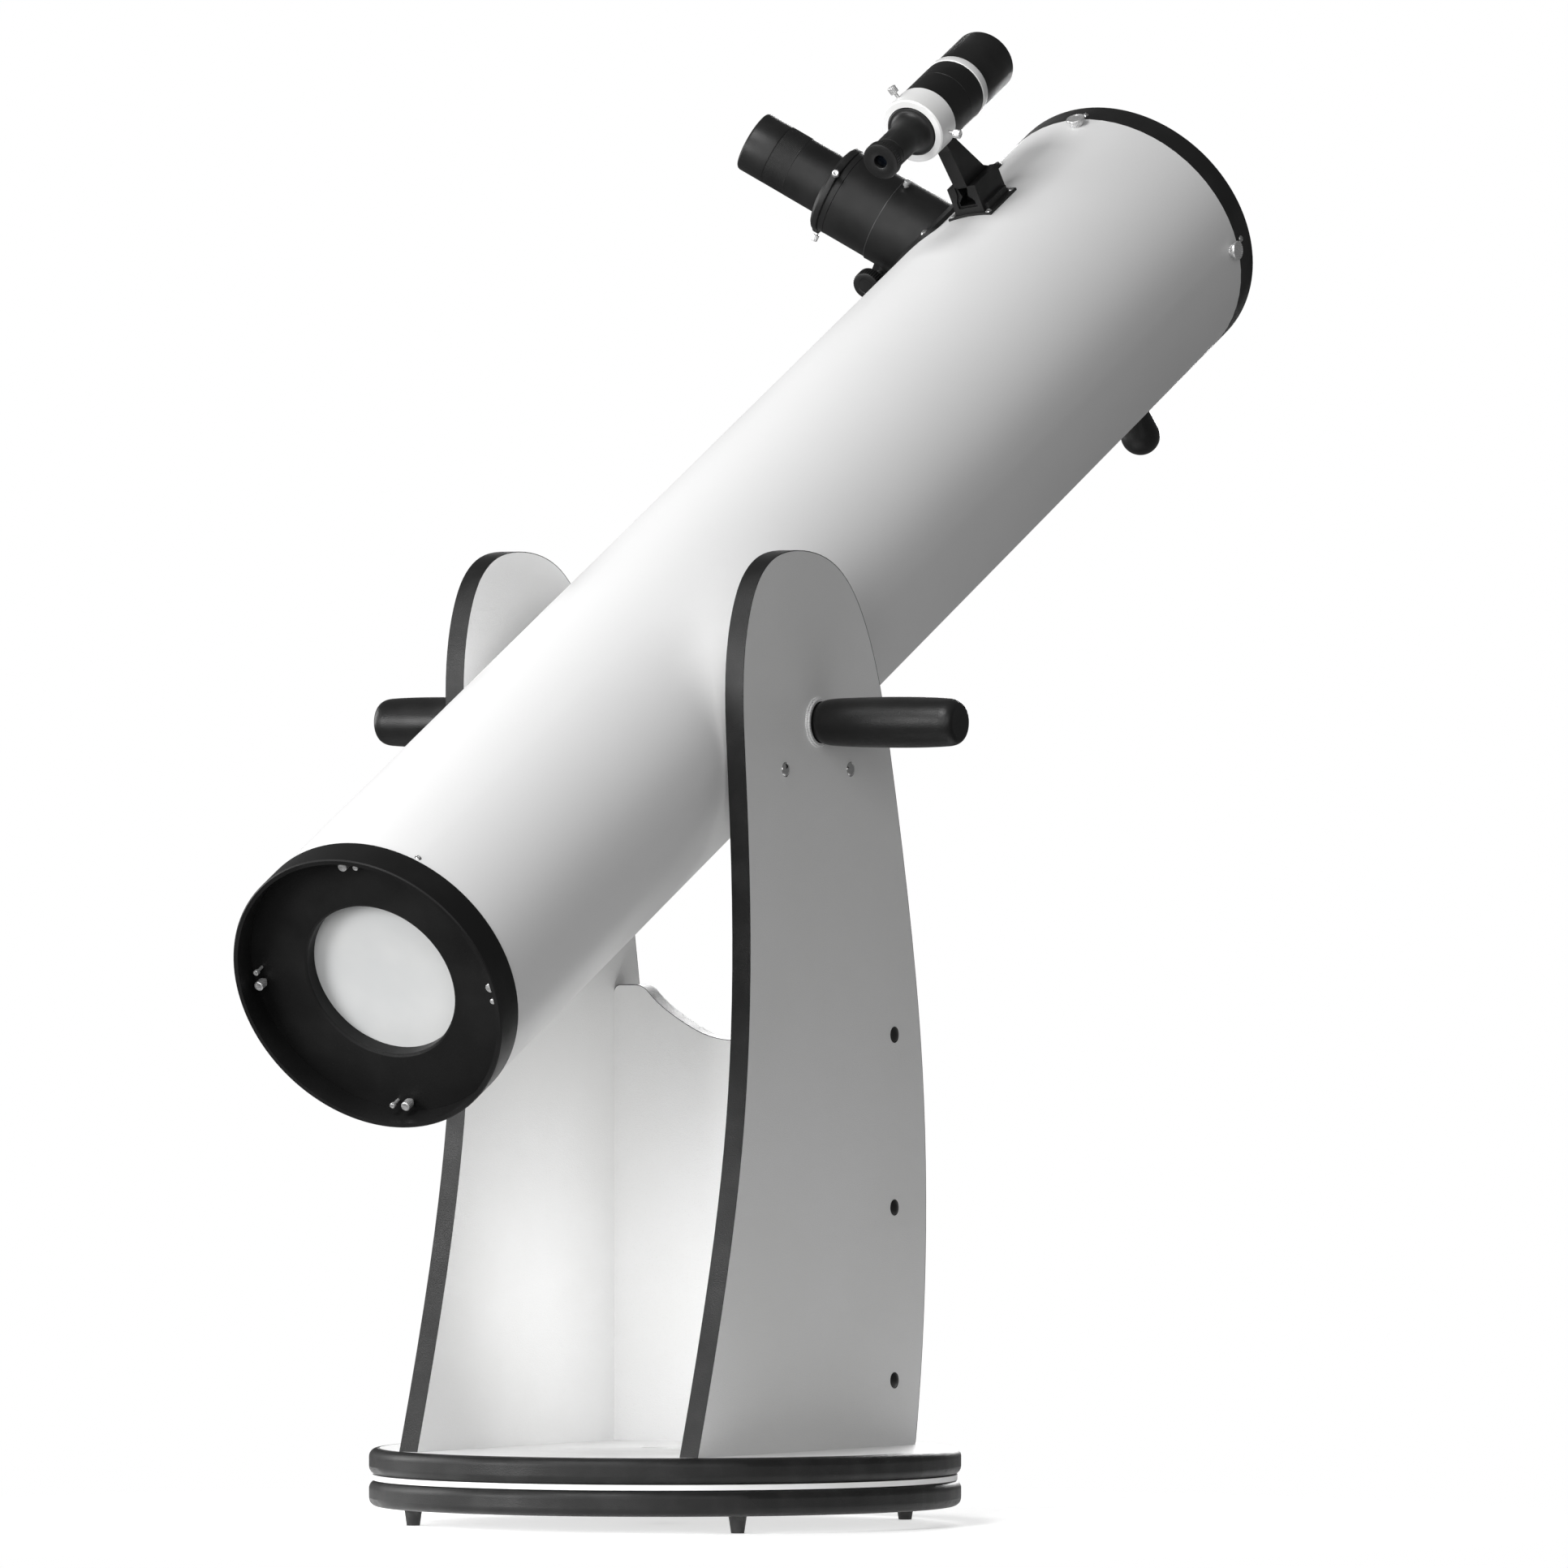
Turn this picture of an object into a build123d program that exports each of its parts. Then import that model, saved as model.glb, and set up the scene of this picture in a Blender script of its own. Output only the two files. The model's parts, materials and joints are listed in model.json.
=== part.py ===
"""Dobsonian reflector telescope: ground board, rocker, tilting tube, focuser and finder.

Millimetres, +Z up. +Y is the way the tube points and X runs along the altitude axis. The parts
are drawn with the azimuth axis at the origin and written with the middle of the whole telescope's
footprint there, at floor level.
"""
from build123d import *
from math import asin, cos, hypot, radians, sin
import os

# ---------------------------------------------------------------- base, all round the Z axis
BASE_R = 238.2  # outside of the black edge moulding
MOULDING_T = 8.5  # radial thickness of the moulding
MOULDING_ROUND = 6.8
FOOT_H = 14.2
FOOT_RING = 207.0  # the feet stand on this radius
FOOT_TURNS = (50.8, 136.5, 223.0, 316.5)  # degrees from +X to each foot
FOOT_END_R = 5.3  # radius of a foot where it stands
FOOT_TOP_R = 7.4
FOOT_SCREW_R = 2.0
FOOT_SCREW_TOP = 25.0
BOARD_T = 21.1
GLIDE_T = 4.3
RUN = 0.1  # gap under the turning board
GROUND_TOP = FOOT_H + BOARD_T
ROCKER_BOTTOM = GROUND_TOP + GLIDE_T + RUN
ROCKER_TOP = ROCKER_BOTTOM + BOARD_T
PIVOT_R = 5.0
PIVOT_BUSH_R = 9.0
PIVOT_POCKET_R = 19.0
PIVOT_HEX_R = 9.2  # corner radius of the pivot bolt's head and nut
PIVOT_HEAD_T = 6.4
WASHER_T = 1.5
FIT = 0.05  # radial clearance of a turning fit
SLIP = 0.2  # radial clearance of a fixed bolt
POCKET_FLOOR = ROCKER_BOTTOM + 11.5  # floor of the pivot nut's pocket

# ---------------------------------------------------------------- rocker sides and front
PANEL_IN = 121.5  # X of a side panel's inner face
PANEL_OUT = 138.1
PANEL_T = PANEL_OUT - PANEL_IN
BAND_T = 0.6  # thickness of the black edge banding
FRONT_Y = 125.6  # inner face of the front board
FRONT_SIDE_Z = 431.2
FRONT_DIP_Z = 386.5
SCREW_Y = 130.0
SCREW_Z = (113.4, 252.8, 392.2)
BASE_SCREW_Y = (-140.0, -10.0, 100.0)
BASE_SCREW_R = 2.5
PANEL_SCREW_R = 3.0
SCREW_HEAD_R = 5.0
SCREW_L = 55.0

# ---------------------------------------------------------------- altitude axis and tube
ALT_Y = 6.5
MIDDLE_Y = 151.0  # middle of the overall length, which the written parts have at Y = 0
ALT_Z = 644.2
TILT = 26.88  # degrees of the tube above level
TUBE_LIFT = 22.0  # the tube's axis passes this far above the altitude axis
TUBE_R = 117.5
TUBE_WALL = 1.5
TUBE_BORE = TUBE_R - TUBE_WALL
CELL_END = -515.4
CELL_RING_R = 118.7
TUBE_START = -486.4
TUBE_END = 837.9
FRONT_END = 862.4
ROLLER_R = 10.0
ROLLER_DY = 52.2
ROLLER_DZ = 37.7
BEARING_R = hypot(ROLLER_DY, ROLLER_DZ) - ROLLER_R - RUN
BEARING_FACE = PANEL_IN - 0.3
BEARING_REACH = 36.0  # depth of a side bearing's saddle toward the tube
BUSH_R = 12.0
STUD_R = 5.0
CELL_SCREW_S = -481.0
FRONT_SCREW_S = 845.5
RING_SCREW_R = 1.5
KNOB_S = 807.2
KNOB_SCREW_R = 3.0

# ---------------------------------------------------------------- optics
MIRROR_R = 101.6
MIRROR_BACK = -478.9
MIRROR_T = 30.0
MIRROR_SAG = 1.8
PLATE_S = -493.0
PLATE_T = 6.0
PLATE_HOLE_R = 65.4
PLATE_LIP = 13.6  # depth of the rolled lip round the hole
COLLIMATION_R = 106.0
COLLIMATION_SCREW_R = 2.0
LOCK_SCREW_R = 1.3
LOCK_TURN = 6.4  # degrees from a collimation screw to its lock screw
CARRIER_T = 15.0
SPIDER_S = 826.5
HUB_R = 15.0
HUB_FROM = 809.0
HUB_TO = 838.0
SPIDER_SCREW_R = 2.5
ADJUST_R = 10.0  # circle of the three adjusting screws
ADJUST_SCREW_R = 1.5
CENTRE_BOLT_R = 3.0
STEM_FROM = 772.0
SECONDARY_R = 25.0
SECONDARY_T = 9.0

# ---------------------------------------------------------------- focuser
FOCUS_S = 711.0
FOCUS_PSI = 56.06  # degrees round the tube from its top
FOCUS_BASE_R = 37.9
FOCUS_BODY_R = 37.1
FOCUS_SEAM = 158.0
FOCUS_TOP = 198.6
DRAW_R = 29.0
BARREL_R = 26.5
BARREL_END = 290.6
COLLAR_T = 14.2
COLLAR_LOBES = (110.0, 230.0, 350.0)
COLLAR_REACH = 41.4  # radius to the tip of a lobe
RACK_Y = 31.1
PINION_R = 4.0
PINION_Y = RACK_Y + RUN + PINION_R
PINION_Z = 141.0
KNOB_R = 12.2
KNOB_X = 39.5
AXLE_R = 2.5
THUMB_R = 1.5  # shank of the focuser's and finder's small thumbscrews
FLANGE_L = 144.0
FLANGE_HALF = 32.0  # degrees of the tube that the flange covers each way
FLANGE_T = 3.0
FLANGE_SCREW_R = 2.0
RACK_SLOT = 8.6

# ---------------------------------------------------------------- finder
FINDER_S = 560.3
FINDER_PSI = 8.0
FINDER_RAISE = 212.8
FINDER_R = 27.6
FINDER_NECK_R = 13.9
FINDER_SEAT_R = 21.2
RING_FROM = 58.5
RING_TO = 83.4
SLEEVE_TO = 113.7
BAND_FROM = 136.7
BAND_TO = 146.1
HOOD_TO = 195.4
HOOD_R = 27.0
FINDER_SCREWS = (64.0, 194.0)  # degrees round the ring to each alignment screw
FINDER_PLUNGER = 309.0
SHOE_FROM = 656.5
SHOE_TO = 698.5
SHOE_TOP = 142.8
SHOE_W = 27.4
SHOE_PLATE_T = 2.0
SHOE_PLATE_L = SHOE_TO - SHOE_FROM + 6.4
SHOE_PLATE_W = 42.0
SHOE_FOOT_W = 34.0
SHOE_FOOT_TOP = 124.4
BAR_INSET = 1.5  # the dovetail bar is this much shorter than its shoe at each end
POST_T = 12.4
PLUNGER_R = 3.0

ALT = Vector(0, ALT_Y, ALT_Z)
TUBE_DIR = Vector(0, cos(radians(TILT)), sin(radians(TILT)))
TUBE_UP = Vector(0, -sin(radians(TILT)), cos(radians(TILT)))
TUBE = Plane(ALT + TUBE_UP * TUBE_LIFT, x_dir=(-1, 0, 0), z_dir=TUBE_DIR)


# ---------------------------------------------------------------- places
def along(station, x=0.0, y=0.0):
    """Plane square to the tube at a station, with x to the left and y up."""
    return Plane(TUBE.from_local_coords((x, y, station)), x_dir=TUBE.x_dir, z_dir=TUBE.z_dir)


def outward(station, psi, radius=0.0):
    """Plane facing away from the tube's axis, psi degrees from its top, with x along the tube."""
    away = TUBE.x_dir * sin(radians(psi)) + TUBE.y_dir * cos(radians(psi))
    return Plane(along(station).origin + away * radius, x_dir=TUBE.z_dir, z_dir=away)


def panel_side(facing, y=ALT_Y, z=ALT_Z):
    """Plane on the outside of the right (1) or left (-1) panel, by default on the altitude axis."""
    return Plane((facing * PANEL_OUT, y, z), x_dir=(0, facing, 0), z_dir=(facing, 0, 0))


def lift(plane, height):
    return Plane(plane.origin + plane.z_dir * height, x_dir=plane.x_dir, z_dir=plane.z_dir)


def spoke(plane, angle, radius, height=0.0):
    """Plane facing outward from a plane's z axis, at an angle, radius and height in it."""
    away = plane.x_dir * cos(radians(angle)) + plane.y_dir * sin(radians(angle))
    return Plane(plane.origin + plane.z_dir * height + away * radius, x_dir=plane.z_dir, z_dir=away)


def profile_of(plane):
    """Plane through a plane's z axis, whose x is a radius and whose y is a height along the axis."""
    return Plane(plane.origin, x_dir=plane.x_dir, z_dir=-plane.y_dir)


# ---------------------------------------------------------------- shapes, drawn in the open block
def disc(plane, radius, height, mode=Mode.ADD):
    with BuildSketch(plane) as face:
        Circle(radius)
    extrude(face.sketch, amount=height, mode=mode)


def pipe(plane, outer, inner, height, mode=Mode.ADD):
    with BuildSketch(plane) as face:
        Circle(outer)
        Circle(inner, mode=Mode.SUBTRACT)
    extrude(face.sketch, amount=height, mode=mode)


def turn(plane, points, mode=Mode.ADD):
    """Revolve a closed outline of (radius, height) points about the plane's z axis."""
    with BuildSketch(profile_of(plane)) as face:
        with BuildLine():
            Polyline(*points, close=True)
        make_face()
    revolve(face.sketch, axis=Axis(plane.origin, plane.z_dir), mode=mode)


def slab(plane, x_size, y_size, height, mode=Mode.ADD):
    with BuildSketch(plane) as face:
        Rectangle(x_size, y_size)
    extrude(face.sketch, amount=height, mode=mode)


def drill(planes, radius, depth):
    for plane in planes:
        disc(lift(plane, -depth), radius, 2 * depth, mode=Mode.SUBTRACT)


def cap_middle(radius, low, high):
    """Middle of the arc from (radius, low) to (0, high) that is centred on the axis."""
    rise = high - low
    ball = (radius ** 2 + rise ** 2) / (2 * rise)
    half = asin(radius / ball) / 2
    return ball * sin(half), high - ball * (1 - cos(half))


def dome_screw(plane, radius, height, shank_r, length):
    """Screw with a domed head on the plane and its shank behind."""
    with BuildSketch(profile_of(plane)) as face:
        with BuildLine():
            Line((0, height), (0, -length))
            Line((0, -length), (shank_r, -length))
            Line((shank_r, -length), (shank_r, 0))
            Line((shank_r, 0), (radius, 0))
            ThreePointArc((radius, 0), cap_middle(radius, 0, height), (0, height))
        make_face()
    revolve(face.sketch, axis=Axis(plane.origin, plane.z_dir))


def thumb_screw(plane, head_r, head_h, neck_h, shank_r, length):
    """Thumbscrew whose shank enters the plane, with a neck and a bevelled head in front of it."""
    top = neck_h + head_h
    bevel = 0.1 * head_r
    turn(plane, [(0, -length), (shank_r, -length), (shank_r, neck_h), (head_r - bevel, neck_h),
                 (head_r, neck_h + bevel), (head_r, top - bevel), (head_r - bevel, top), (0, top)])


# ---------------------------------------------------------------- fastener places
FOOT_PLACES = [spoke(Plane.XY, turn_to, FOOT_RING).origin for turn_to in FOOT_TURNS]
PANEL_SCREWS = [panel_side(facing, SCREW_Y, z) for facing in (1, -1) for z in SCREW_Z]
ROLLER_PLACES = [panel_side(facing, ALT_Y + dy, ALT_Z - ROLLER_DZ)
                 for facing in (1, -1) for dy in (-ROLLER_DY, ROLLER_DY)]
PANEL_MID = (PANEL_IN + PANEL_OUT) / 2
FRONT_MID = FRONT_Y + PANEL_T / 2
BASE_SCREWS = [Plane((x, y, ROCKER_BOTTOM), x_dir=(1, 0, 0), z_dir=(0, 0, -1))
               for x in (-PANEL_MID, PANEL_MID) for y in BASE_SCREW_Y]
BASE_SCREWS += [Plane((x, FRONT_MID, ROCKER_BOTTOM), x_dir=(1, 0, 0), z_dir=(0, 0, -1))
                for x in (-60.0, 60.0)]
CELL_RING_SCREWS = [outward(CELL_SCREW_S, psi, TUBE_R) for psi in (-28.8, -145.0, 93.0)]
FRONT_RING_SCREWS = [outward(FRONT_SCREW_S, psi + 0.8, TUBE_R) for psi in (0, 90, 180, 270)]
SPIDER_PLACES = [outward(SPIDER_S, psi, TUBE_R) for psi in (0, 90, 180, 270)]
COLLIMATION = [90 * k for k in range(4)]
FOCUS = outward(FOCUS_S, FOCUS_PSI)
FLANGE_SCREWS = [outward(FOCUS_S + ds, FOCUS_PSI + dp, TUBE_R + FLANGE_T)
                 for ds in (-62, 62) for dp in (-26, 26)]
FINDER = along(FINDER_S, FINDER_RAISE * sin(radians(FINDER_PSI)), FINDER_RAISE * cos(radians(FINDER_PSI)))
SHOE = outward((SHOE_FROM + SHOE_TO) / 2, FINDER_PSI)
SHOE_SCREWS = [outward(s, FINDER_PSI + dp, TUBE_R + SHOE_PLATE_T)
               for s in (SHOE_FROM + 0.5, SHOE_TO - 0.5) for dp in (-8.4, 8.4)]
KNOB_PLACE = outward(KNOB_S, 180.0, TUBE_R)

pieces = {}


# ---------------------------------------------------------------- base
def board(bottom, centre_holes, screw_holes):
    with BuildPart() as piece:
        disc(Plane.XY.offset(bottom), BASE_R - MOULDING_T, BOARD_T)
        for radius, low, high in centre_holes:
            disc(Plane.XY.offset(low), radius, high - low, mode=Mode.SUBTRACT)
        for planes, radius, depth in screw_holes:
            drill(planes, radius, depth)
    return piece


def moulding(bottom):
    """Black bullnose moulding pressed round the rim of a board."""
    with BuildPart() as piece:
        pipe(Plane.XY.offset(bottom), BASE_R, BASE_R - MOULDING_T, BOARD_T)
        fillet(piece.edges().filter_by(GeomType.CIRCLE).filter_by(lambda e: e.radius > BASE_R - 1),
               MOULDING_ROUND)
    return piece


def ground():
    through = (PIVOT_R + SLIP, FOOT_H - 1, GROUND_TOP + 1)
    foot_tops = [Plane(p + Vector(0, 0, FOOT_H)) for p in FOOT_PLACES]
    pieces["ground_board"] = board(FOOT_H, [through], [(foot_tops, FOOT_SCREW_R + FIT, 12.0)])
    pieces["ground_moulding"] = moulding(FOOT_H)

    with BuildPart() as ground_feet:
        for place in FOOT_PLACES:
            bore = FOOT_SCREW_R + SLIP
            turn(Plane(place), [(bore, 2.5), (4.2, 2.5), (4.2, 0), (FOOT_END_R, 0), (FOOT_TOP_R, FOOT_H),
                                (bore, FOOT_H)])
    pieces["ground_feet"] = ground_feet

    with BuildPart() as foot_screws:
        for place in FOOT_PLACES:
            turn(Plane(place), [(0, 1.0), (3.6, 1.0), (3.6, 2.5), (FOOT_SCREW_R, 2.5),
                                (FOOT_SCREW_R, FOOT_SCREW_TOP), (0, FOOT_SCREW_TOP)])
    pieces["foot_screws"] = foot_screws

    with BuildPart() as glide_ring:
        pipe(Plane.XY.offset(GROUND_TOP), BASE_R - 3, BASE_R - 60, GLIDE_T)
    pieces["glide_ring"] = glide_ring

    with BuildPart() as pivot_bolt:
        with BuildSketch(Plane.XY.offset(FOOT_H - PIVOT_HEAD_T)):
            RegularPolygon(PIVOT_HEX_R, 6)
        extrude(amount=PIVOT_HEAD_T)
        disc(Plane.XY.offset(FOOT_H), PIVOT_R, ROCKER_TOP - 1.5 - FOOT_H)
        pipe(Plane.XY.offset(POCKET_FLOOR + RUN), 15.0, PIVOT_R + SLIP, WASHER_T)
        with BuildSketch(Plane.XY.offset(POCKET_FLOOR + RUN + WASHER_T + 0.1)):
            RegularPolygon(PIVOT_HEX_R, 6)
            Circle(PIVOT_R + FIT, mode=Mode.SUBTRACT)
        extrude(amount=5.9)
    pieces["pivot_bolt"] = pivot_bolt


def rocker_base():
    holes = [(PIVOT_BUSH_R, ROCKER_BOTTOM - 1, POCKET_FLOOR + 1),
             (PIVOT_POCKET_R, POCKET_FLOOR, ROCKER_TOP + 1)]
    screw_holes = [(BASE_SCREWS, BASE_SCREW_R + 0.1, 30.0), (BASE_SCREWS, SCREW_HEAD_R + SLIP, 4.2)]
    pieces["rocker_board"] = board(ROCKER_BOTTOM, holes, screw_holes)
    pieces["rocker_moulding"] = moulding(ROCKER_BOTTOM)

    with BuildPart() as bushes:
        pipe(Plane.XY.offset(ROCKER_BOTTOM), PIVOT_BUSH_R, PIVOT_R + FIT, POCKET_FLOOR - ROCKER_BOTTOM)
        for facing in (1, -1):
            pipe(lift(panel_side(facing), -PANEL_T), BUSH_R, STUD_R + FIT, PANEL_T)
    pieces["bushes"] = bushes


# ---------------------------------------------------------------- rocker sides and front
def panel_face(inset):
    """Outline of a side panel in (Y, Z): waisted at the back, bowed at the front, rounded on top."""
    with BuildLine() as outline:
        guide = Spline(
            (-185.0, ROCKER_TOP), (-144.0, 186.0), (-113.3, 315.0), (-101.7, 457.0), (-109.6, 612.0),
            (-107.5, 715.5), (-78.0, 767.2), (-18.0, 781.8), (45.3, 764.7), (96.5, 699.0),
            (125.8, 611.5), (151.5, 506.5), (175.5, 370.0), (182.0, 244.0), (164.6, ROCKER_TOP),
            mode=Mode.PRIVATE,
        )
        points = [(-185.0 + inset, ROCKER_TOP)]
        for step in range(1, 60):
            way = guide.tangent_at(step / 60)
            spot = guide.position_at(step / 60) + Vector(way.Y, -way.X) * inset
            points.append((spot.X, spot.Y))
        points.append((164.6 - inset, ROCKER_TOP))
        Spline(*points)
        Line(points[-1], points[0])
    make_face(outline.edges())


def front_face(inset):
    """Outline of the front board in (X, Z), dipped in the middle under the tube."""
    half = PANEL_IN
    corner = 6.0
    top = FRONT_SIDE_Z - inset
    with BuildLine() as outline:
        Line((-half, ROCKER_TOP), (half, ROCKER_TOP))
        for hand in (-1, 1):
            Line((hand * half, ROCKER_TOP), (hand * half, top - corner))
            RadiusArc((hand * half, top - corner), (hand * (half - corner), top), -hand * corner)
            Line((hand * (half - corner), top), (hand * 102.0, top))
            Spline((hand * 102.0, top), (hand * 86.5, 422.5 - inset), (hand * 55.5, 400.6 - inset),
                   (0, FRONT_DIP_Z - inset), tangents=[(-hand, 0), (-hand, 0)])
    make_face(outline.edges())


def sheet_core(plane, outline, holes):
    """Board inside its edge banding."""
    with BuildPart() as piece:
        with BuildSketch(plane):
            outline(BAND_T)
        extrude(amount=PANEL_T)
        for planes, radius, depth in holes:
            drill(planes, radius, depth)
    return piece


def rocker_sides():
    right_inner = Plane((PANEL_IN, 0, 0), x_dir=(0, 1, 0), z_dir=(1, 0, 0))
    left_outer = Plane((-PANEL_OUT, 0, 0), x_dir=(0, 1, 0), z_dir=(1, 0, 0))
    front_outer = Plane((0, FRONT_Y + PANEL_T, 0), x_dir=(1, 0, 0), z_dir=(0, -1, 0))
    heads = [lift(plane, -2.0) for plane in PANEL_SCREWS]
    screw_bore = PANEL_SCREW_R + FIT
    holes = [([panel_side(1), panel_side(-1)], BUSH_R, 30.0), (ROLLER_PLACES, screw_bore, 30.0),
             (PANEL_SCREWS, screw_bore, 60.0), (heads, SCREW_HEAD_R + SLIP, 2.1),
             (BASE_SCREWS, BASE_SCREW_R + 0.1, 60.0)]
    pieces["right_panel"] = sheet_core(right_inner, panel_face, holes)
    pieces["left_panel"] = sheet_core(left_outer, panel_face, holes)
    pieces["front_board"] = sheet_core(front_outer, front_face, holes)

    with BuildPart() as edge_banding:
        for plane, outline in ((right_inner, panel_face), (left_outer, panel_face),
                               (front_outer, front_face)):
            with BuildSketch(plane) as whole:
                outline(0.0)
            with BuildSketch(plane) as core:
                outline(BAND_T)
            extrude(whole.sketch - core.sketch, amount=PANEL_T)
        drill(PANEL_SCREWS, screw_bore, 60.0)
        drill(BASE_SCREWS, BASE_SCREW_R + 0.1, 60.0)
    pieces["edge_banding"] = edge_banding

    with BuildPart() as board_screws:
        for planes, top, shank_r in ((PANEL_SCREWS, -0.1, PANEL_SCREW_R), (BASE_SCREWS, -0.3, BASE_SCREW_R)):
            for plane in planes:
                turn(plane, [(0, top), (SCREW_HEAD_R, top), (SCREW_HEAD_R, -4.0), (shank_r, -4.0),
                             (shank_r, -SCREW_L), (0, -SCREW_L)])
    pieces["board_screws"] = board_screws

    with BuildPart() as screw_caps:
        for plane in PANEL_SCREWS:
            dome_screw(plane, 6.5, 2.4, 1.0, 0.05)
    pieces["screw_caps"] = screw_caps

    with BuildPart() as bearing_rollers:
        for plane in ROLLER_PLACES:
            pipe(lift(plane, -PANEL_T - 3.3), ROLLER_R, screw_bore, 3.3)
    pieces["bearing_rollers"] = bearing_rollers

    with BuildPart() as roller_bolts:
        for plane in ROLLER_PLACES:
            dome_screw(plane, 6.0, 2.8, PANEL_SCREW_R, PANEL_T + 2.8)
    pieces["roller_bolts"] = roller_bolts

    with BuildPart() as handle_washers:
        for facing in (1, -1):
            turn(panel_side(facing), [(STUD_R + SLIP, 0), (20.4, 0), (20.4, 0.6), (20.0, 1.0),
                                      (STUD_R + SLIP, 1.0)])
    pieces["handle_washers"] = handle_washers


# ---------------------------------------------------------------- altitude handles
def handles():
    grip_from, grip_to = 3.4, 131.0
    stud_end = 60.0
    for name, facing in (("right", 1), ("left", -1)):
        place = panel_side(facing)
        with BuildPart() as grip:
            with BuildSketch(profile_of(place)):
                with BuildLine():
                    Line((0, grip_to), (0, grip_from))
                    Line((0, grip_from), (15.6, grip_from))
                    Spline((15.6, grip_from), (17.6, 7.8), (19.0, 17.3), (19.6, 30.6), (20.3, 58.4),
                           (20.4, 84.0), (20.1, 102.0), (19.2, 121.0))
                    Spline((19.2, 121.0), (17.0, 128.6), (12.6, grip_to), tangents=[(-0.1, 1), (-1, 0)])
                    Line((12.6, grip_to), (0, grip_to))
                make_face()
            revolve(axis=Axis(place.origin, place.z_dir))
            disc(place, STUD_R + SLIP, stud_end + 1, mode=Mode.SUBTRACT)
        pieces[f"{name}_grip"] = grip

        with BuildPart() as stud:
            reach = PANEL_OUT - BEARING_FACE + 4.6
            turn(place, [(0, -reach), (STUD_R, -reach), (STUD_R, 1.1), (19.2, 1.1), (19.2, 2.9), (16.8, 2.9),
                         (16.8, grip_from), (STUD_R, grip_from), (STUD_R, stud_end), (0, stud_end)])
        pieces[f"{name}_handle_stud"] = stud


# ---------------------------------------------------------------- tube and mirror cell
def tube():
    with BuildPart() as main_tube:
        pipe(along(TUBE_START), TUBE_R, TUBE_BORE, TUBE_END - TUBE_START)
        disc(lift(FOCUS, 80), DRAW_R + 3, 60, mode=Mode.SUBTRACT)
        drill(SPIDER_PLACES, SPIDER_SCREW_R + 0.1, 10.0)
        drill(CELL_RING_SCREWS + SHOE_SCREWS, RING_SCREW_R + 0.1, 12.0)
        drill(FLANGE_SCREWS, FLANGE_SCREW_R + 0.1, 12.0)
        drill([KNOB_PLACE], KNOB_SCREW_R + 0.1, 10.0)
    pieces["main_tube"] = main_tube

    with BuildPart() as front_ring:
        turn(along(0), [(114.6, TUBE_END - 4), (115.9, TUBE_END - 4), (115.9, TUBE_END), (TUBE_R, TUBE_END),
                        (TUBE_R, FRONT_END - 1.2), (TUBE_R - 1.2, FRONT_END), (112.5, FRONT_END),
                        (112.5, FRONT_END - 2.5), (114.6, FRONT_END - 2.5)])
        drill(FRONT_RING_SCREWS, RING_SCREW_R + 0.1, 10.0)
    pieces["front_ring"] = front_ring

    with BuildPart() as cell_ring:
        turn(along(0), [(114.5, CELL_END), (CELL_RING_R - 1.0, CELL_END), (CELL_RING_R, CELL_END + 1.0),
                        (CELL_RING_R, TUBE_START), (115.9, TUBE_START), (115.9, TUBE_START + 12),
                        (113.5, TUBE_START + 12), (113.5, TUBE_START + 1), (114.5, TUBE_START + 1)])
        drill(CELL_RING_SCREWS, RING_SCREW_R + 0.1, 10.0)
    pieces["cell_ring"] = cell_ring

    with BuildPart() as guide_knob:
        ball_h, ball_r, neck_r = 43.8, 16.6, 6.2
        with BuildSketch(profile_of(KNOB_PLACE)):
            with BuildLine():
                lean = radians(15.6)
                meet = (ball_r * cos(lean), ball_h - ball_r * sin(lean))
                Line((0, 0), (neck_r, 0))
                Line((neck_r, 0), meet)
                ThreePointArc(meet, (ball_r * cos(0.6), ball_h + ball_r * sin(0.6)), (0, ball_h + ball_r))
                Line((0, ball_h + ball_r), (0, 0))
            make_face()
        revolve(axis=Axis(KNOB_PLACE.origin, KNOB_PLACE.z_dir))
        disc(KNOB_PLACE, KNOB_SCREW_R + 0.1, 24.0, mode=Mode.SUBTRACT)
    pieces["guide_knob"] = guide_knob

    with BuildPart() as tube_screws:
        for plane in CELL_RING_SCREWS + FRONT_RING_SCREWS:
            dome_screw(plane, 2.9, 1.6, RING_SCREW_R, 2.8)
        for plane in SHOE_SCREWS:
            dome_screw(plane, 2.9, 1.4, RING_SCREW_R, 5.0)
        for plane in FLANGE_SCREWS:
            dome_screw(plane, 3.6, 1.8, FLANGE_SCREW_R, 7.0)
        turn(KNOB_PLACE, [(0, -4.6), (5.0, -4.6), (5.0, -2.2), (KNOB_SCREW_R, -2.2), (KNOB_SCREW_R, 22.0),
                          (0, 22.0)])
    pieces["tube_screws"] = tube_screws


def side_bearings():
    with BuildPart() as bearings:
        for facing in (1, -1):
            face = Plane((facing * BEARING_FACE, ALT_Y, ALT_Z), x_dir=(0, facing, 0), z_dir=(facing, 0, 0))
            disc(lift(face, -BEARING_REACH), BEARING_R, BEARING_REACH)
        disc(along(-200), TUBE_R, 400, mode=Mode.SUBTRACT)
        drill([Plane((0, ALT_Y, ALT_Z), x_dir=(0, 1, 0), z_dir=(1, 0, 0))], STUD_R + FIT, 130.0)
    pieces["side_bearings"] = bearings


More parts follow.
